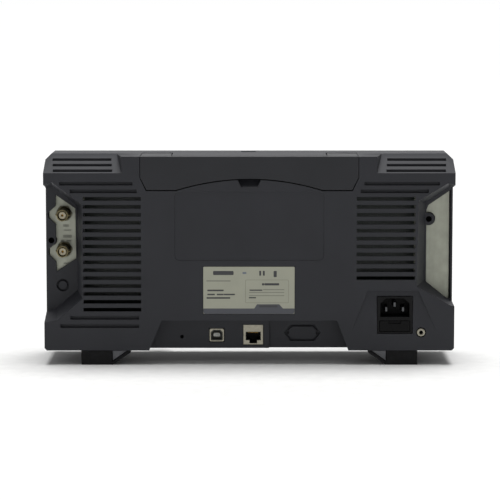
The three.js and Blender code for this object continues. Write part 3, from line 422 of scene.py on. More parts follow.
def soft_block(name, low, high, edge, steps=3):
    """A block from low to high, in mm, whose outline in X and Z and whose Y ends have rounded edges."""
    low, high = np.asarray(low, float) * MM, np.asarray(high, float) * MM
    edge = edge * MM
    size = high - low
    middle = (high + low) / 2
    turn = rounded_profile(edge, edge, steps)
    insets = np.concatenate([turn[::-1], turn])
    ys = np.concatenate([low[1] + edge - turn[::-1, 1], high[1] - edge + turn[:, 1]])
    rings = []
    for (inset, _), y in zip(insets, ys):
        loop = rounded_loop(size[0] - 2 * inset, size[2] - 2 * inset, max(edge - inset, edge * 0.3))
        rings.append(np.column_stack([loop[:, 0] + middle[0], np.full(len(loop), y), loop[:, 1] + middle[2]]))
    return skin(name, rings)


def stroke(name, points, width, y, thickness=0.03, facing=1):
    """A flat printed line of the given width along (x, z) points in mm, standing on the plane y."""
    points = np.asarray(points, float)
    step = np.gradient(points, axis=0)
    normal = np.stack([-step[:, 1], step[:, 0]], axis=1)
    normal /= np.linalg.norm(normal, axis=1, keepdims=True)
    left, right = points + normal * width / 2, points - normal * width / 2
    low, high = y, y + facing * thickness
    rings = np.stack([
        np.column_stack([left[:, 0], np.full(len(points), low), left[:, 1]]),
        np.column_stack([left[:, 0], np.full(len(points), high), left[:, 1]]),
        np.column_stack([right[:, 0], np.full(len(points), high), right[:, 1]]),
        np.column_stack([right[:, 0], np.full(len(points), low), right[:, 1]]),
    ], axis=1)
    return skin(name, rings * MM)


def film(name, outline, y, thickness=0.03, facing=1):
    """A thin flat sheet with an outline of (x, z) points in mm, standing on the plane y."""
    outline = np.asarray(outline, float)
    flat = [
        np.column_stack([outline[:, 0], np.full(len(outline), level), outline[:, 1]])
        for level in (y, y + facing * thickness)
    ]
    return skin(name, np.array(flat) * MM)


def frame_line(name, x, z, width, height, corner, line, y, facing=1):
    """A thin rounded frame of a given line width about (x, z) in mm, standing on the plane y."""
    outer = rounded_loop(width, height, corner) + np.array([x, z])
    inner = rounded_loop(width - 2 * line, height - 2 * line, max(corner - line, 0.1)) + np.array([x, z])
    levels = [(outer, y), (outer, y + 0.03 * facing), (inner, y + 0.03 * facing), (inner, y)]
    rings = [np.column_stack([loop[:, 0], np.full(len(loop), level), loop[:, 1]]) for loop, level in levels]
    return skin(name, np.array(rings) * MM, closed=True)


def cup(name, outer, inner, back, floor, mouth):
    """A hollow box open at its mouth: outer and inner outlines of (x, z) points in mm carried along Y."""
    levels = [(inner, floor), (inner, mouth), (outer, mouth), (outer, back)]
    rings = [np.column_stack([loop[:, 0], np.full(len(loop), level), loop[:, 1]]) for loop, level in levels]
    return skin(name, np.array(rings) * MM)


def cut_corners(x, z, width, height, top_cut, low_cut):
    """Outline of a rectangle about (x, z) whose upper and lower corners are cut off straight."""
    half, tall = width / 2, height / 2
    return np.array([
        [half, tall - top_cut], [half - top_cut, tall], [top_cut - half, tall], [-half, tall - top_cut],
        [-half, low_cut - tall], [low_cut - half, -tall], [half - low_cut, -tall], [half, low_cut - tall],
    ]) + np.array([x, z])


def lettering(name, text, x, z, height, surface):
    """Characters of a cap height in mm about (x, z), laid on the face whose y is surface(x, z)."""
    curve = bpy.data.curves.new(name, "FONT")
    curve.body = text
    curve.align_x = "CENTER"
    curve.align_y = "CENTER"
    curve.size = height / 0.7
    curve.extrude = 0.1
    curve.resolution_u = 4
    holder = bpy.data.objects.new(name, curve)
    bpy.context.scene.collection.objects.link(holder)
    graph = bpy.context.evaluated_depsgraph_get()
    mesh = bpy.data.meshes.new_from_object(holder.evaluated_get(graph))
    bpy.data.objects.remove(holder)
    bpy.data.curves.remove(curve)
    flat = np.empty(len(mesh.vertices) * 3)
    mesh.vertices.foreach_get("co", flat)
    flat = flat.reshape(-1, 3)
    at_x, at_z = flat[:, 0] + x, flat[:, 1] + z
    raised = np.where(flat[:, 2] > 0, -0.03, 0.12)
    placed = np.column_stack([at_x, surface(at_x, at_z) + raised, at_z]) * MM
    mesh.vertices.foreach_set("co", placed.ravel())
    mesh.update()
    return mesh


def bar(x, z, width, height):
    """Outline of a printed bar whose middle is at (x, z)."""
    return rounded_loop(width, height, min(width, height) * 0.2, 3) + np.array([x, z])


def joined(name, meshes):
    """Several closed meshes as one piece."""
    work = bmesh.new()
    for mesh in meshes:
        work.from_mesh(mesh)
        bpy.data.meshes.remove(mesh)
    whole = bpy.data.meshes.new(name)
    work.to_mesh(whole)
    work.free()
    return whole


# ---------------------------------------------------------------- making pieces

def add_piece(name, mesh, material, body="root", node=None, edge=0.0, segments=2, angle=30):
    """Links a mesh as one piece that rides on a body and may stand for a CAD node."""
    piece = bpy.data.objects.new(name, mesh)
    bpy.context.scene.collection.objects.link(piece)
    mesh.materials.clear()
    mesh.materials.append(material)
    mesh.polygons.foreach_set("use_smooth", np.ones(len(mesh.polygons), bool))
    if edge > 0:
        bevel = piece.modifiers.new("edge_round", "BEVEL")
        bevel.width = edge
        bevel.segments = segments
        bevel.limit_method = "ANGLE"
        bevel.angle_limit = math.radians(angle)
        bevel.harden_normals = True
    else:
        mesh.set_sharp_from_angle(angle=math.radians(angle))
    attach(piece, body)
    for stood_for in [node] if isinstance(node, str) else (node or []):
        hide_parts(stood_for)
    return piece


def merged_copy(node, name):
    """A copy of a CAD node's mesh with its loose triangles merged and its flat faces made whole."""
    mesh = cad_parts[node].data.copy()
    mesh.name = name
    for attribute in [a.name for a in mesh.attributes if a.name == "custom_normal"]:
        mesh.attributes.remove(mesh.attributes[attribute])
    work = bmesh.new()
    work.from_mesh(mesh)
    bmesh.ops.remove_doubles(work, verts=work.verts, dist=2e-6)
    bmesh.ops.dissolve_limit(work, angle_limit=math.radians(0.4), verts=work.verts, edges=work.edges)
    work.to_mesh(mesh)
    work.free()
    return mesh


def finished_node(node, material, edge=0.3 * MM, body="root", segments=2, angle=30):
    """A CAD node's own shape with rounded edges, as the piece that shows for it."""
    return add_piece(
        node + "_finished", merged_copy(node, node + "_mesh"), material, body, node, edge,
        segments, angle,
    )


def middle_of(node):
    low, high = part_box(node)
    return (low + high) / 2


MATERIALS = {}


def finish_named(name):
    if not MATERIALS:
        MATERIALS.update(build_materials(bpy.context.scene))
    return MATERIALS[name]


# ---------------------------------------------------------------- case

class INSTRUMENT_OT_rear_cover(bpy.types.Operator):
    """Rear cover: moulded shell with cooling slots, side pockets and the connector bay"""

    bl_idname = "instrument.rear_cover"
    bl_label = "Rear cover"

    def execute(self, context):
        finished_node(
            "rear_cover", finish_named("case"), context.scene.case_settings.edge
        )
        return {"FINISHED"}


class INSTRUMENT_OT_front_housing(bpy.types.Operator):
    """Front housing: the front half of the case, with openings for the screen, keys and jacks"""

    bl_idname = "instrument.front_housing"
    bl_label = "Front housing"

    def execute(self, context):
        finished_node(
            "front_housing", finish_named("case"), context.scene.case_settings.edge
        )
        return {"FINISHED"}


class INSTRUMENT_OT_chassis(bpy.types.Operator):
    """Chassis plate: zinc-plated sheet behind the pocket floors"""

    bl_idname = "instrument.chassis"
    bl_label = "Chassis plate"

    def execute(self, context):
        finished_node("chassis_plate", finish_named("sheet"), 0.15 * MM)
        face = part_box("chassis_plate")[1].y / MM
        marks = [(153.6, 113.4, 5, 2.4), (152.4, 109.6, 6.5, 1.4), (152.4, 104.4, 7.4, 2.6),
                 (156.6, 100.6, 3, 2), (151.4, 100.6, 4, 1.4), (152.5, 81.6, 6.5, 1.2)]
        prints = [film("mark", bar(*mark), face) for mark in marks]
        add_piece("chassis_print", joined("chassis_print", prints), finish_named("ink_soft"))
        return {"FINISHED"}


class INSTRUMENT_OT_handle(bpy.types.Operator):
    """Handle: a moulded bar on two arms, with its steel pivot pins"""

    bl_idname = "instrument.handle"
    bl_label = "Handle"

    def execute(self, context):
        finished_node(
            "handle", finish_named("handle"), context.scene.case_settings.handle_edge,
            "handle", 3,
        )
        for side in ("left", "right"):
            node = "handle_pin_" + side
            finished_node(node, finish_named("steel"), 0.3 * MM)
        return {"FINISHED"}


class INSTRUMENT_OT_feet(bpy.types.Operator):
    """Feet: grey rear feet in rubber boots, and the front tilt legs"""

    bl_idname = "instrument.feet"
    bl_label = "Feet and tilt legs"

    def execute(self, context):
        for side in ("left", "right"):
            finished_node("rear_foot_" + side, finish_named("foot"), 0.4 * MM)
            finished_node("rear_foot_boot_" + side, finish_named("rubber"), 1.3 * MM, segments=4)
            leg = "tilt_leg_" + side
            finished_node(leg, finish_named("rubber"), 0.7 * MM, leg, 3)
        return {"FINISHED"}


class INSTRUMENT_OT_boards(bpy.types.Operator):
    """Circuit boards inside the case: keys, main and power supply"""

    bl_idname = "instrument.boards"
    bl_label = "Circuit boards"

    def execute(self, context):
        # The boards' near-black mask colour paints the shade inside the case.
        for node in ("key_board", "main_board", "power_supply_board"):
            finished_node(node, finish_named("board"), 0.1 * MM)
        return {"FINISHED"}


class INSTRUMENT_OT_screws(bpy.types.Operator):
    """Case screws: cross-recessed pan heads down their deep holes"""

    bl_idname = "instrument.screws"
    bl_label = "Case screws"

    def execute(self, context):
        for side in ("left", "right"):
            finished_node("case_screw_" + side, finish_named("black_oxide_and_bore_shade"), 0.12 * MM)
        return {"FINISHED"}


# ---------------------------------------------------------------- coaxial jacks

def jack_profiles(reach):
    """Profiles of a bayonet jack in mm, y measured outward from the panel: shell, insulator and contact."""
    neck_end = reach - 13.5
    thread = [(5.65 - 0.3 * (i % 2), 2.3 + (neck_end - 2.3) * i / 10) for i in range(11)]
    shell = [
        (0, -8), (5.6, -8), (5.6, 0.3), (5.65, 2.2), *thread, (5.3, neck_end + 0.5), (4.7, reach - 12.4),
        (4.7, reach - 2.2), (4.85, reach - 2.0), (4.85, reach - 0.3), (4.6, reach), (4.05, reach),
        (3.9, reach - 0.3), (3.9, reach - 9), (0, reach - 9),
    ]
    insulator = [(0, reach - 8.95), (3.1, reach - 8.95), (3.1, reach - 1.4), (2.8, reach - 1.1),
                 (1.0, reach - 1.1), (1.0, reach - 5), (0, reach - 5)]
    contact = [(0, reach - 4.95), (0.9, reach - 4.95), (0.9, reach - 2.0), (0.55, reach - 1.7),
               (0.5, reach - 4.4), (0, reach - 4.4)]
    return shell, insulator, contact


def bayonet_lug(name, centre, reach, facing, side):
    """A short peg that stands out of the jack's barrel along X, with a rounded end."""
    heights = np.array([4.4, 5.7, 5.95, 6.0]) * side
    radii = np.array([1.0, 1.0, 0.75, 0.3])
    angles = np.linspace(0, TAU, 16, endpoint=False)
    rings = [
        np.column_stack([
            np.full(16, h), facing * (reach - 5) + r * np.cos(angles), r * np.sin(angles),
        ]) * MM + np.array(centre)
        for h, r in zip(heights, radii)
    ]
    return skin(name, rings)


class INSTRUMENT_OT_jacks(bpy.types.Operator):
    """Coaxial jacks: bayonet shells with nuts, insulators and contacts, front and rear"""

    bl_idname = "instrument.jacks"
    bl_label = "Coaxial jacks"

    def execute(self, context):
        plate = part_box("chassis_plate")[1].y
        places = [("bnc_jack_upper", plate, 21.0, 1, 6.7), ("bnc_jack_lower", plate, 21.0, 1, 6.7),
                  ("output_jack_1", FRONT_Y, 13.8, -1, 7.8), ("output_jack_2", FRONT_Y, 13.8, -1, 7.8)]
        for node, face, reach, facing, corner in places:
            middle = middle_of(node)
            centre = (middle.x, face, middle.z)
            shell, insulator, contact = jack_profiles(reach)
            metal = joined(node + "_mesh", [
                turned("shell", shell, centre, 48, facing),
                bayonet_lug("lug", centre, reach, facing, 1), bayonet_lug("lug", centre, reach, facing, -1),
            ])
            # The shell's darkened olive colour is partly tarnish, partly painted shade and painted dark
            # reflection.
            add_piece(node + "_shell", metal, finish_named("jack"), "root", node)
            nut = [(5.75, 0.35), (corner - 0.4, 0.35), (corner, 0.7), (corner, 1.8), (corner - 0.4, 2.15),
                   (5.75, 2.15)]

            def across_flats(angle, radius):
                flat = math.cos(math.pi / 6) / np.cos((angle % (TAU / 6)) - math.pi / 6)
                return np.where(radius > 6 * MM, np.minimum(1, flat * 1.06), 1)

            rings = nut + [nut[0]]
            # The nut's darkened olive colour is painted shade and painted dark reflection.
            add_piece(
                node + "_nut", turned("nut", rings, centre, 96, facing, across_flats), finish_named("nut"),
            )
            add_piece(node + "_insulator", turned("insulator", insulator, centre, 32, facing),
                      finish_named("ptfe"))
            add_piece(node + "_contact", turned("contact", contact, centre, 24, facing), finish_named("gold"))
        return {"FINISHED"}


# ---------------------------------------------------------------- data sockets

class INSTRUMENT_OT_data_sockets(bpy.types.Operator):
    """Data sockets: network and type B sockets in the bay, and the host port on the front"""

    bl_idname = "instrument.data_sockets"
    bl_label = "Data sockets"

    def execute(self, context):
        self.network_socket()
        self.type_b_socket()
        self.host_port()
        return {"FINISHED"}

    def network_socket(self):
        finished_node("rj45_socket", finish_named("nickel"), 0.25 * MM)
        low, high = [np.array(v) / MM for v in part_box("rj45_socket")]
        x, z, mouth = (low[0] + high[0]) / 2, (low[2] + high[2]) / 2, high[1]

        def plug_outline(inset):
            side, top, floor, notch, latch = 6.2 - inset, 2.4 - inset, inset - 4.4, 3.1 - inset, inset - 7.1
            return np.array([
                [side, top], [-side, top], [-side, floor], [-notch, floor], [-notch, latch], [notch, latch],
                [notch, floor], [side, floor],
            ]) + np.array([x, z])

        liner = cup("liner", plug_outline(0.05), plug_outline(0.4), low[1] + 3.1, low[1] + 3.6, mouth - 0.3)
        add_piece("rj45_liner", liner, finish_named("black"))
        contacts = [
            soft_block("contact", (x - 4.05 + i * 1.1, mouth - 12.5, z + 0.9),
                       (x - 3.65 + i * 1.1, mouth - 4.5, z + 1.5), 0.1, 2)
            for i in range(8)
        ]
        add_piece("rj45_contacts", joined("rj45_contacts", contacts), finish_named("gold"))

    def type_b_socket(self):
        low, high = [np.array(v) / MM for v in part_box("usb_b_socket")]
        x, z, back, mouth = (low[0] + high[0]) / 2, (low[2] + high[2]) / 2, low[1], high[1]
        width, height = high[0] - low[0], high[2] - low[2]
        shell = cup(
            "usb_b_shell", cut_corners(x, z, width, height, 0.7, 0.7),
            cut_corners(x, z, width - 2.4, height - 2.4, 2.2, 0.6), back, back + 0.6, mouth,
        )
        add_piece("usb_b_shell", shell, finish_named("nickel"), node="usb_b_socket",
                  edge=0.4 * MM, segments=3)
        body = cup(
            "usb_b_body", cut_corners(x, z, width - 2.5, height - 2.5, 2.15, 0.55),
            cut_corners(x, z, width - 3.6, height - 3.6, 2, 0.4), back + 0.7, mouth - 5, mouth - 0.5,
        )
        add_piece("usb_b_body", body, finish_named("grey"))
        tongue = cut_corners(x, z + 0.2, 5.4, 3.1, 0.9, 0.2)
        add_piece("usb_b_tongue", film("tongue", tongue, back + 3.1, mouth - 1.2 - back - 3.1),
                  finish_named("tongue"), edge=0.25 * MM)
        contacts = [
            soft_block("contact", (x + dx - 0.5, mouth - 4.9, z + dz),
                       (x + dx + 0.5, mouth - 1.8, z + dz + 0.3), 0.1, 2)
            for dx in (-1.3, 1.3) for dz in (-1.5, 1.6)
        ]
        add_piece("usb_b_contacts", joined("usb_b_contacts", contacts), finish_named("gold"))

    def host_port(self):
        finished_node("usb_host_port", finish_named("nickel"), 0.15 * MM)
        low, high = [np.array(v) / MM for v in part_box("usb_host_port")]
        x, z, mouth = (low[0] + high[0]) / 2, (low[2] + high[2]) / 2, low[1]
        add_piece("usb_host_tongue", soft_block("tongue", (x - 5.35, mouth + 0.8, z + 0.05),
                                                (x + 5.35, mouth + 9, z + 2.05), 0.2), finish_named("black"))
        contacts = [
            soft_block("contact", (x - 4 + i * 2.4, mouth + 1.4, z - 0.15),
                       (x - 3.2 + i * 2.4, mouth + 8, z + 0.1), 0.08, 2)
            for i in range(4)
        ]
        add_piece("usb_host_contacts", joined("usb_host_contacts", contacts), finish_named("gold"))


# ---------------------------------------------------------------- mains inlet

class INSTRUMENT_OT_mains_inlet(bpy.types.Operator):
    """Mains inlet: socket body with three blades, and the fuse drawer with its fuse"""

    bl_idname = "instrument.mains_inlet"
    bl_label = "Mains inlet and fuse drawer"

    def execute(self, context):
        finished_node("inlet_body", finish_named("black"), 0.35 * MM)
        # The blades' dark grey is painted shade inside the inlet socket.
        finished_node("inlet_pins", finish_named("pin"), 0.45 * MM, segments=3)
        finished_node("fuse_drawer", finish_named("drawer"), 0.3 * MM, "fuse_drawer")
        finished_node("mains_fuse", finish_named("steel"), 0.2 * MM, "fuse_drawer")
        return {"FINISHED"}


class INSTRUMENT_OT_earth_terminal(bpy.types.Operator):
    """Earth terminal: a plated socket beside the mains inlet"""

    bl_idname = "instrument.earth_terminal"
    bl_label = "Earth terminal"

    def execute(self, context):
        middle = middle_of("earth_terminal")
        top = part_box("earth_terminal")[1].y / MM
        profile = [(0, -10.5), (2.5, -10.5), (2.5, -1.8), (3.5, -1.8), (3.5, -0.5), (3.3, -0.12), (2.9, 0),
                   (1.9, 0), (1.6, -0.12), (1.4, -0.5), (1.4, -7.8), (0, -7.8)]
        add_piece(
            "earth_terminal_socket", turned("earth", profile, (middle.x, top * MM, middle.z), 48),
            finish_named("nickel"), node="earth_terminal",
        )
        # A near-black liner in the bore paints the shade down the hole.
        bore = [(0, -7.7), (1.38, -7.7), (1.38, -0.4), (1.2, -0.35), (1.1, -0.6), (1.1, -7.2), (0, -7.2)]
        add_piece("earth_terminal_bore_painted_shade", turned("bore", bore, (middle.x, top * MM, middle.z), 32),
                  finish_named("black_oxide_and_bore_shade"))
        return {"FINISHED"}


# ---------------------------------------------------------------- rating label

class INSTRUMENT_OT_rating_label(bpy.types.Operator):
    """Rating label: pale film with plain bars and boxes in place of its text and marks"""

    bl_idname = "instrument.rating_label"
    bl_label = "Rating label"

    def execute(self, context):
        low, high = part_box("rating_label")
        x0, x1, z0, z1 = low.x / MM, high.x / MM, low.z / MM, high.z / MM
        face = high.y / MM
        outline = rounded_loop(x1 - x0, z1 - z0, 0.9) + np.array([(x0 + x1) / 2, (z0 + z1) / 2])
        add_piece("label_film", film("film", outline, low.y / MM, face - low.y / MM),
                  finish_named("label"), node="rating_label")
        dark = [
            (21.5, 76.8, 17, 3.4), (28, 62.3, 13.5, 1.3), (31.6, 58.9, 6.2, 1.2), (24.2, 58.9, 5.4, 1.2),
            (16.6, 58.9, 9.4, 1.2), (25.6, 56, 19.6, 1.3), (-18.6, 67.4, 12.2, 1.8), (-11.4, 67.4, 1.8, 1.8),
            (-9, 76.6, 1.6, 4), (-12, 76.6, 1.6, 4), (-21.4, 76, 2.6, 5.2), (-5.5, 62.5, 10.6, 1),
            (-2.6, 56.2, 6, 1), (-15.8, 49, 15, 1.6),
        ]
        soft = [(25.5, 70.2, 20, 1), (-20.2, 62.9, 17.6, 0.8), (-14.4, 60.6, 29, 0.7), (-14.4, 57.9, 29, 0.7)]
        prints = [film("ink", bar(*mark), face) for mark in dark]
        add_piece("label_print_dark", joined("label_print_dark", prints), finish_named("ink"))
        prints = [film("ink", bar(*mark), face) for mark in soft]
        prints.append(frame_line("frame", -14.7, 61.5, 36, 19.4, 1, 0.35, face))
        add_piece("label_print_soft", joined("label_print_soft", prints), finish_named("ink_soft"))
        add_piece("label_print_accent", film("accent", bar(4, 76.8, 3.2, 1.6), face),
                  finish_named("ink_accent"))
        top, tab, end = 47.2, 50.7, 0.04
        stripe = [(x1 - end, z0 + 1.1), (x1 - end, top), (-4.1, top), (-6.4, tab), (-24.8, tab), (-27.9, top),
                  (x0 + end, top), (x0 + end, z0 + 1.1), (x0 + 1.1, z0 + end), (x1 - 1.1, z0 + end)]
        add_piece("label_stripe", film("stripe", stripe, face - 0.01), finish_named("ink_stripe"))
        return {"FINISHED"}


# ---------------------------------------------------------------- screen

class INSTRUMENT_OT_screen(bpy.types.Operator):
    """Screen: smoked acrylic window over the display module"""

    bl_idname = "instrument.screen"
    bl_label = "Screen"

    def execute(self, context):
        finished_node("display_window", finish_named("window"), 0.3 * MM)
        finished_node("display_panel", finish_named("panel"), 0.4 * MM)
        low, high = [np.array(v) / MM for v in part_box("display_window")]
        x, z, face = (low[0] + high[0]) / 2, (low[2] + high[2]) / 2, low[1]
        outline = rounded_loop(162, 116, 0.6) + np.array([x, z + 1.5])
        add_piece("screen_cell", film("cell", outline, face, 0.02, -1), finish_named("screen_off"))
        add_piece("screen_border", frame_line("border", x, z, 174, 128, 3.2, 0.35, face, -1),
                  finish_named("ink_soft"))
        return {"FINISHED"}


# ---------------------------------------------------------------- keys, power button and knob

def key_mesh(name, node, corner, dish):
    """A moulded key: flange, walls, a rolled edge and a shallow finger dish.

    The dish is a parabola: its depth falls with the square of the distance from the key's middle.
    """
    low, high = [np.array(v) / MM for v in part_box(node)]
    middle = (low + high) / 2
    width, height = high[0] - low[0] - 1.8, high[2] - low[2] - 1.8
    face, back = low[1], high[1]
    flange_front = FRONT_Y / MM + 3.4
    rows = [(0.9, back), (0.9, flange_front), (0.0, flange_front), (0.0, face + 0.6)]
    rows += [(-0.6 * (1 - math.cos(a)), face + 0.6 * (1 - math.sin(a))) for a in (0.5, 1.0, math.pi / 2)]
    rings = []
    for grow, y in rows:
        loop = rounded_loop(width + 2 * grow, height + 2 * grow, max(0.4, corner + grow))
        rings.append(np.column_stack([loop[:, 0], np.full(len(loop), y), loop[:, 1]]))
    rim = rings[-1]
    for share in (0.85, 0.65, 0.4, 0.15):
        sunk = rim * np.array([share, 1, share])
        sunk[:, 1] = face + dish / MM * (1 - share ** 2)
        rings.append(sunk)
    return skin(name, (np.array(rings) + np.array([middle[0], 0, middle[2]])) * MM)


def dished_face(node, dish):
    """The y of a key's dished face at (x, z), in mm: the dish depth less its square fall to the edge."""
    low, high = [np.array(v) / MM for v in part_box(node)]
    middle, half = (low + high) / 2, (high - low) / 2 - 0.9

    def surface(x, z):
        share = np.maximum(np.abs(x - middle[0]) / half[0], np.abs(z - middle[2]) / half[2])
        return low[1] + dish * (1 - share ** 2)

    return surface


class INSTRUMENT_OT_keys(bpy.types.Operator):
    """Keys and power button: dished caps with printed digits and plain signs"""

    bl_idname = "instrument.keys"
    bl_label = "Keys"

    def execute(self, context):
        dish = context.scene.front_settings.dish
        dark = [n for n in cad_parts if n.startswith("softkey_")] + ["key_mode", "key_utility"]
        light = sorted(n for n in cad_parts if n.startswith("key_") and n not in dark)
        light.remove("key_board")
        for node in sorted(dark) + light:
            look = "dark_key" if node in dark else "light_key"
            add_piece(node + "_cap", key_mesh(node + "_mesh", node, 2.0, dish), finish_named(look),
                      node, node)
        add_piece("power_button_cap", key_mesh("power_mesh", "power_button", 6.2, dish),
                  finish_named("light_key"), "power_button", "power_button")
        self.legends(dish / MM)
        return {"FINISHED"}

    def legends(self, dish):
        """Digits, arrows and wave signs, each laid in the dish of its key."""
        digits = {"key_" + d: d for d in "0123456789"} | {"key_point": ".", "key_sign": "+/-"}
        arrows = ("key_arrow_left", "key_arrow_right")
        for node in sorted(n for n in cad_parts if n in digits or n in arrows):
            x, _, z = np.array(middle_of(node)) / MM
            surface = dished_face(node, dish)
            if node in digits:
                size = 4.4 if digits[node].isdigit() else 3.4
                mesh = lettering(node + "_legend", digits[node], x, z, size, surface)
            else:
                way = 1 if node.endswith("right") else -1
                tip = np.array([(x + 2.4 * way, z), (x - 1.8 * way, z + 2.3), (x - 1.8 * way, z - 2.3)])
                mesh = film(node + "_legend", tip, surface(x, z) - 0.06, 0.2)
            add_piece(node + "_legend", mesh, finish_named("dark_legend"), node)
        self.wave_signs(dish)
        self.panel_prints()

    def wave_signs(self, dish):
        x, _, z = np.array(middle_of("key_mode")) / MM
        t = np.linspace(-4, 4, 33)
        level = dished_face("key_mode", dish)(x, z) - 0.05
        wave = stroke("wave", np.column_stack([x + t, z + 2.2 * np.sin(t * math.pi / 4)]), 0.5, level, 0.2)
        add_piece("key_mode_legend", wave, finish_named("legend"), "key_mode")
        x, _, z = np.array(middle_of("key_utility")) / MM
        level = dished_face("key_utility", dish)(x, z) - 0.05
        lines = [film("line", bar(x, z + dz, 8, 0.6), level, 0.2) for dz in (-2, 0, 2)]
        add_piece("key_utility_legend", joined("key_utility_legend", lines), finish_named("legend"),
                  "key_utility")
        for number in ("1", "2"):
            node = "key_output_" + number
            x, _, z = np.array(middle_of(node)) / MM
            mesh = lettering(node + "_legend", number, x, z, 3.6, dished_face(node, dish))
            add_piece(node + "_legend", mesh, finish_named("dark_legend"), node)
        x, _, z = np.array(middle_of("power_button")) / MM
        turn = np.linspace(math.radians(125), math.radians(415), 40)
        level = dished_face("power_button", dish)(x, z) - 0.06
        circle = np.column_stack([x + 2.3 * np.cos(turn), z + 2.3 * np.sin(turn)])
        ring = stroke("ring", circle, 0.5, level, 0.2)
        mark = film("mark", bar(x, z + 2, 0.5, 2.6), level, 0.2)
        add_piece("power_button_legend", joined("power_button_legend", [ring, mark]),
                  finish_named("dark_legend"), "power_button")

    def panel_prints(self):
        """Plain frames and short bars printed on the front round the keys and jacks."""
        face = FRONT_Y / MM
        prints = [
            frame_line("frame", 80, 84, 62, 66, 3, 0.3, face, -1),
            frame_line("frame", 105, 29, 74, 24, 3, 0.3, face, -1),
        ]
        for node in ("output_jack_1", "output_jack_2"):
            x, _, z = np.array(middle_of(node)) / MM
            prints.append(film("bar", bar(x + 12.5, z + 8.4, 7, 0.8), face, 0.03, -1))
        for dx in (-13, 13):
            x, _, z = np.array(middle_of("knob")) / MM
            t = np.linspace(0, 1, 12) * math.radians(50)
            start = math.radians(115 if dx < 0 else 15)
            arc = np.column_stack([x + 20.5 * np.cos(start + t), z + 20.5 * np.sin(start + t)])
            prints.append(stroke("arc", arc, 0.5, face, 0.03, -1))
        add_piece("front_panel_print", joined("front_panel_print", prints), finish_named("ink_soft"))


class INSTRUMENT_OT_knob(bpy.types.Operator):
    """Knob: fluted grip on its encoder"""

    bl_idname = "instrument.knob"
    bl_label = "Knob and encoder"

    def execute(self, context):
        low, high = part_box("knob")
        middle = (low + high) / 2
        depth = (high.y - low.y) / MM
        flutes = 36

        def grip(angle, radius):
            groove = 0.5 - 0.5 * np.cos(flutes * angle)
            return np.where(radius > 16.4 * MM, 1 - 0.035 * groove ** 2, 1)

        profile = [(0, depth), (3.3, depth), (3.3, 0.2), (15.6, 0.2), (16.6, 0.6), (16.9, 1.6), (16.9, 9.5),
                   (16.5, 10.6), (15.6, 11.4), (14.2, 11.9), (12.5, 12.1), (4, 12.1), (0, 12.1)]
        profile = [(r, depth - y) for r, y in profile]
        add_piece(
            "knob_grip", turned("knob", [(0, 3.9), (3.3, 3.9), *[(r, y) for r, y in profile[2:]]],
                                (middle.x, low.y, middle.z), 144, 1, grip),
            finish_named("dark_key"), "knob", "knob",
        )
        for node, body in (("encoder_shaft", "knob"), ("encoder_body", "root"),
                           ("encoder_plunger", "encoder_plunger")):
            finished_node(node, finish_named("steel"), 0.2 * MM, body)
        return {"FINISHED"}


# ---------------------------------------------------------------- stage

FLOOR_HALF = 40.0
KEY_DIRECTION = Vector((0.05, 0.12, -0.98))
KEY_SPREAD = math.radians(40)
PANEL_SIZE = (10.0, 2.4)
PANEL_PLACE = Vector((0, -6.0, 1.2))
SENSOR_WIDTH = 36
LENS_SHIFT = (0.0014, -0.0024)
AIM = Vector((0, 0, 92 * MM))
VIEW_DEPTH = 50


class INSTRUMENT_OT_stage(bpy.types.Operator):
    """Stage: pale floor, soft studio light and the camera"""

    bl_idname = "instrument.stage"
    bl_label = "Studio stage"

    def execute(self, context):
        scene = context.scene
        self.floor(scene)
        self.lights(scene)
        self.camera(scene)
        return {"FINISHED"}

    def floor(self, scene):
        signs = ((-1, -1), (1, -1), (1, 1), (-1, 1))
        mesh = bpy.data.meshes.new("studio_floor")
        mesh.from_pydata([(x * FLOOR_HALF, y * FLOOR_HALF, 0) for x, y in signs], [], [(0, 1, 2, 3)])
        mesh.materials.append(finish_named("floor"))
        floor = bpy.data.objects.new("studio_floor", mesh)
        scene.collection.objects.link(floor)

    def lights(self, scene):
        """Even light all round, a broad sun from above, and a low panel beyond the front."""
        stage = scene.stage_settings
        world = bpy.data.worlds.new("studio_world")
        world.use_nodes = True
        tree = world.node_tree
        background = tree.nodes["Background"]
        background.inputs["Color"].default_value = opaque(linear("#ffffff"))
        seen = add_node(tree, "ShaderNodeLightPath").outputs["Is Camera Ray"]
        levels = {"To Min": stage.ambient, "To Max": 1.0}
        strength = add_node(tree, "ShaderNodeMapRange", levels, {"Value": seen})
        tree.links.new(strength.outputs["Result"], background.inputs["Strength"])
        scene.world = world
        scene.view_settings.view_transform = "Standard"
        lamp = bpy.data.lights.new("broad_key_light", "SUN")
        lamp.energy = stage.key_light
        lamp.angle = KEY_SPREAD
        light = bpy.data.objects.new("broad_key_light", lamp)
        light.rotation_euler = KEY_DIRECTION.to_track_quat("-Z", "Y").to_euler()
        scene.collection.objects.link(light)
        panel = bpy.data.lights.new("low_back_panel", "AREA")
        panel.shape = "RECTANGLE"
        panel.size, panel.size_y = PANEL_SIZE
        panel.energy = stage.back_light
        back = bpy.data.objects.new("low_back_panel", panel)
        back.location = PANEL_PLACE
        back.rotation_euler = Vector((0, 1, 0)).to_track_quat("-Z", "Z").to_euler()
        back.visible_camera = False
        scene.collection.objects.link(back)

    def camera(self, scene):
        stage = scene.stage_settings
        lens = bpy.data.cameras.new("rear_view_camera")
        lens.lens = stage.lens
        lens.sensor_width = SENSOR_WIDTH
        lens.shift_x, lens.shift_y = LENS_SHIFT
        lens.clip_end = VIEW_DEPTH
        camera = bpy.data.objects.new("rear_view_camera", lens)
        back = Vector((0, math.cos(stage.elevation), math.sin(stage.elevation)))
        camera.location = AIM + back * stage.distance
        camera.rotation_euler = (-back).to_track_quat("-Z", "Y").to_euler()
        scene.collection.objects.link(camera)
        scene.camera = camera


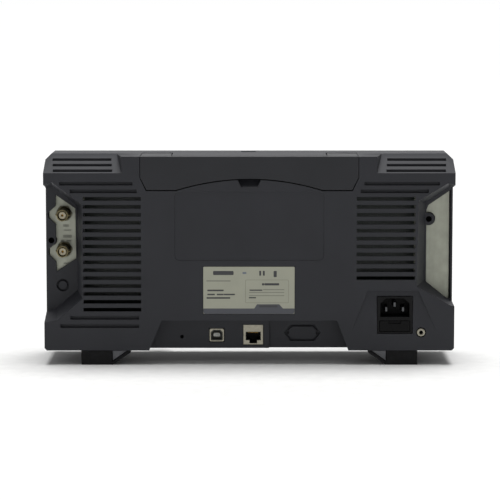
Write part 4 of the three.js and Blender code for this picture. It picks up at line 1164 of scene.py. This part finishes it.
# ---------------------------------------------------------------- panel and registration

BUILD_ORDER = (
    "stage", "rear_cover", "front_housing", "chassis", "handle", "feet", "boards", "screws", "jacks",
    "data_sockets", "mains_inlet", "earth_terminal", "rating_label", "screen", "keys", "knob",
)


class INSTRUMENT_PT_builder(bpy.types.Panel):
    """Sidebar panel that lists the settings and the pieces"""

    bl_label = "Function generator"
    bl_idname = "INSTRUMENT_PT_builder"
    bl_space_type = "VIEW_3D"
    bl_region_type = "UI"
    bl_category = "Instrument"

    def draw(self, context):
        for group in (context.scene.case_settings, context.scene.metal_settings,
                      context.scene.front_settings, context.scene.stage_settings):
            box = self.layout.box()
            for key in group.__annotations__:
                box.prop(group, key)
        for step in BUILD_ORDER:
            self.layout.operator("instrument." + step)


SETTINGS = {
    "case_settings": CaseSettings, "metal_settings": MetalSettings,
    "front_settings": FrontSettings, "stage_settings": StageSettings,
}
OPERATORS = (
    INSTRUMENT_OT_stage, INSTRUMENT_OT_rear_cover, INSTRUMENT_OT_front_housing, INSTRUMENT_OT_chassis,
    INSTRUMENT_OT_handle, INSTRUMENT_OT_feet, INSTRUMENT_OT_boards, INSTRUMENT_OT_screws,
    INSTRUMENT_OT_jacks, INSTRUMENT_OT_data_sockets, INSTRUMENT_OT_mains_inlet,
    INSTRUMENT_OT_earth_terminal, INSTRUMENT_OT_rating_label, INSTRUMENT_OT_screen, INSTRUMENT_OT_keys,
    INSTRUMENT_OT_knob,
)


def register():
    for cls in (*SETTINGS.values(), *OPERATORS, INSTRUMENT_PT_builder):
        bpy.utils.register_class(cls)
    for name, cls in SETTINGS.items():
        setattr(bpy.types.Scene, name, bpy.props.PointerProperty(type=cls))


def unregister():
    for name in SETTINGS:
        delattr(bpy.types.Scene, name)
    for cls in reversed((*SETTINGS.values(), *OPERATORS, INSTRUMENT_PT_builder)):
        bpy.utils.unregister_class(cls)


def main():
    register()
    for step in BUILD_ORDER:
        getattr(bpy.ops.instrument, step)()


if __name__ == "__main__":
    main()
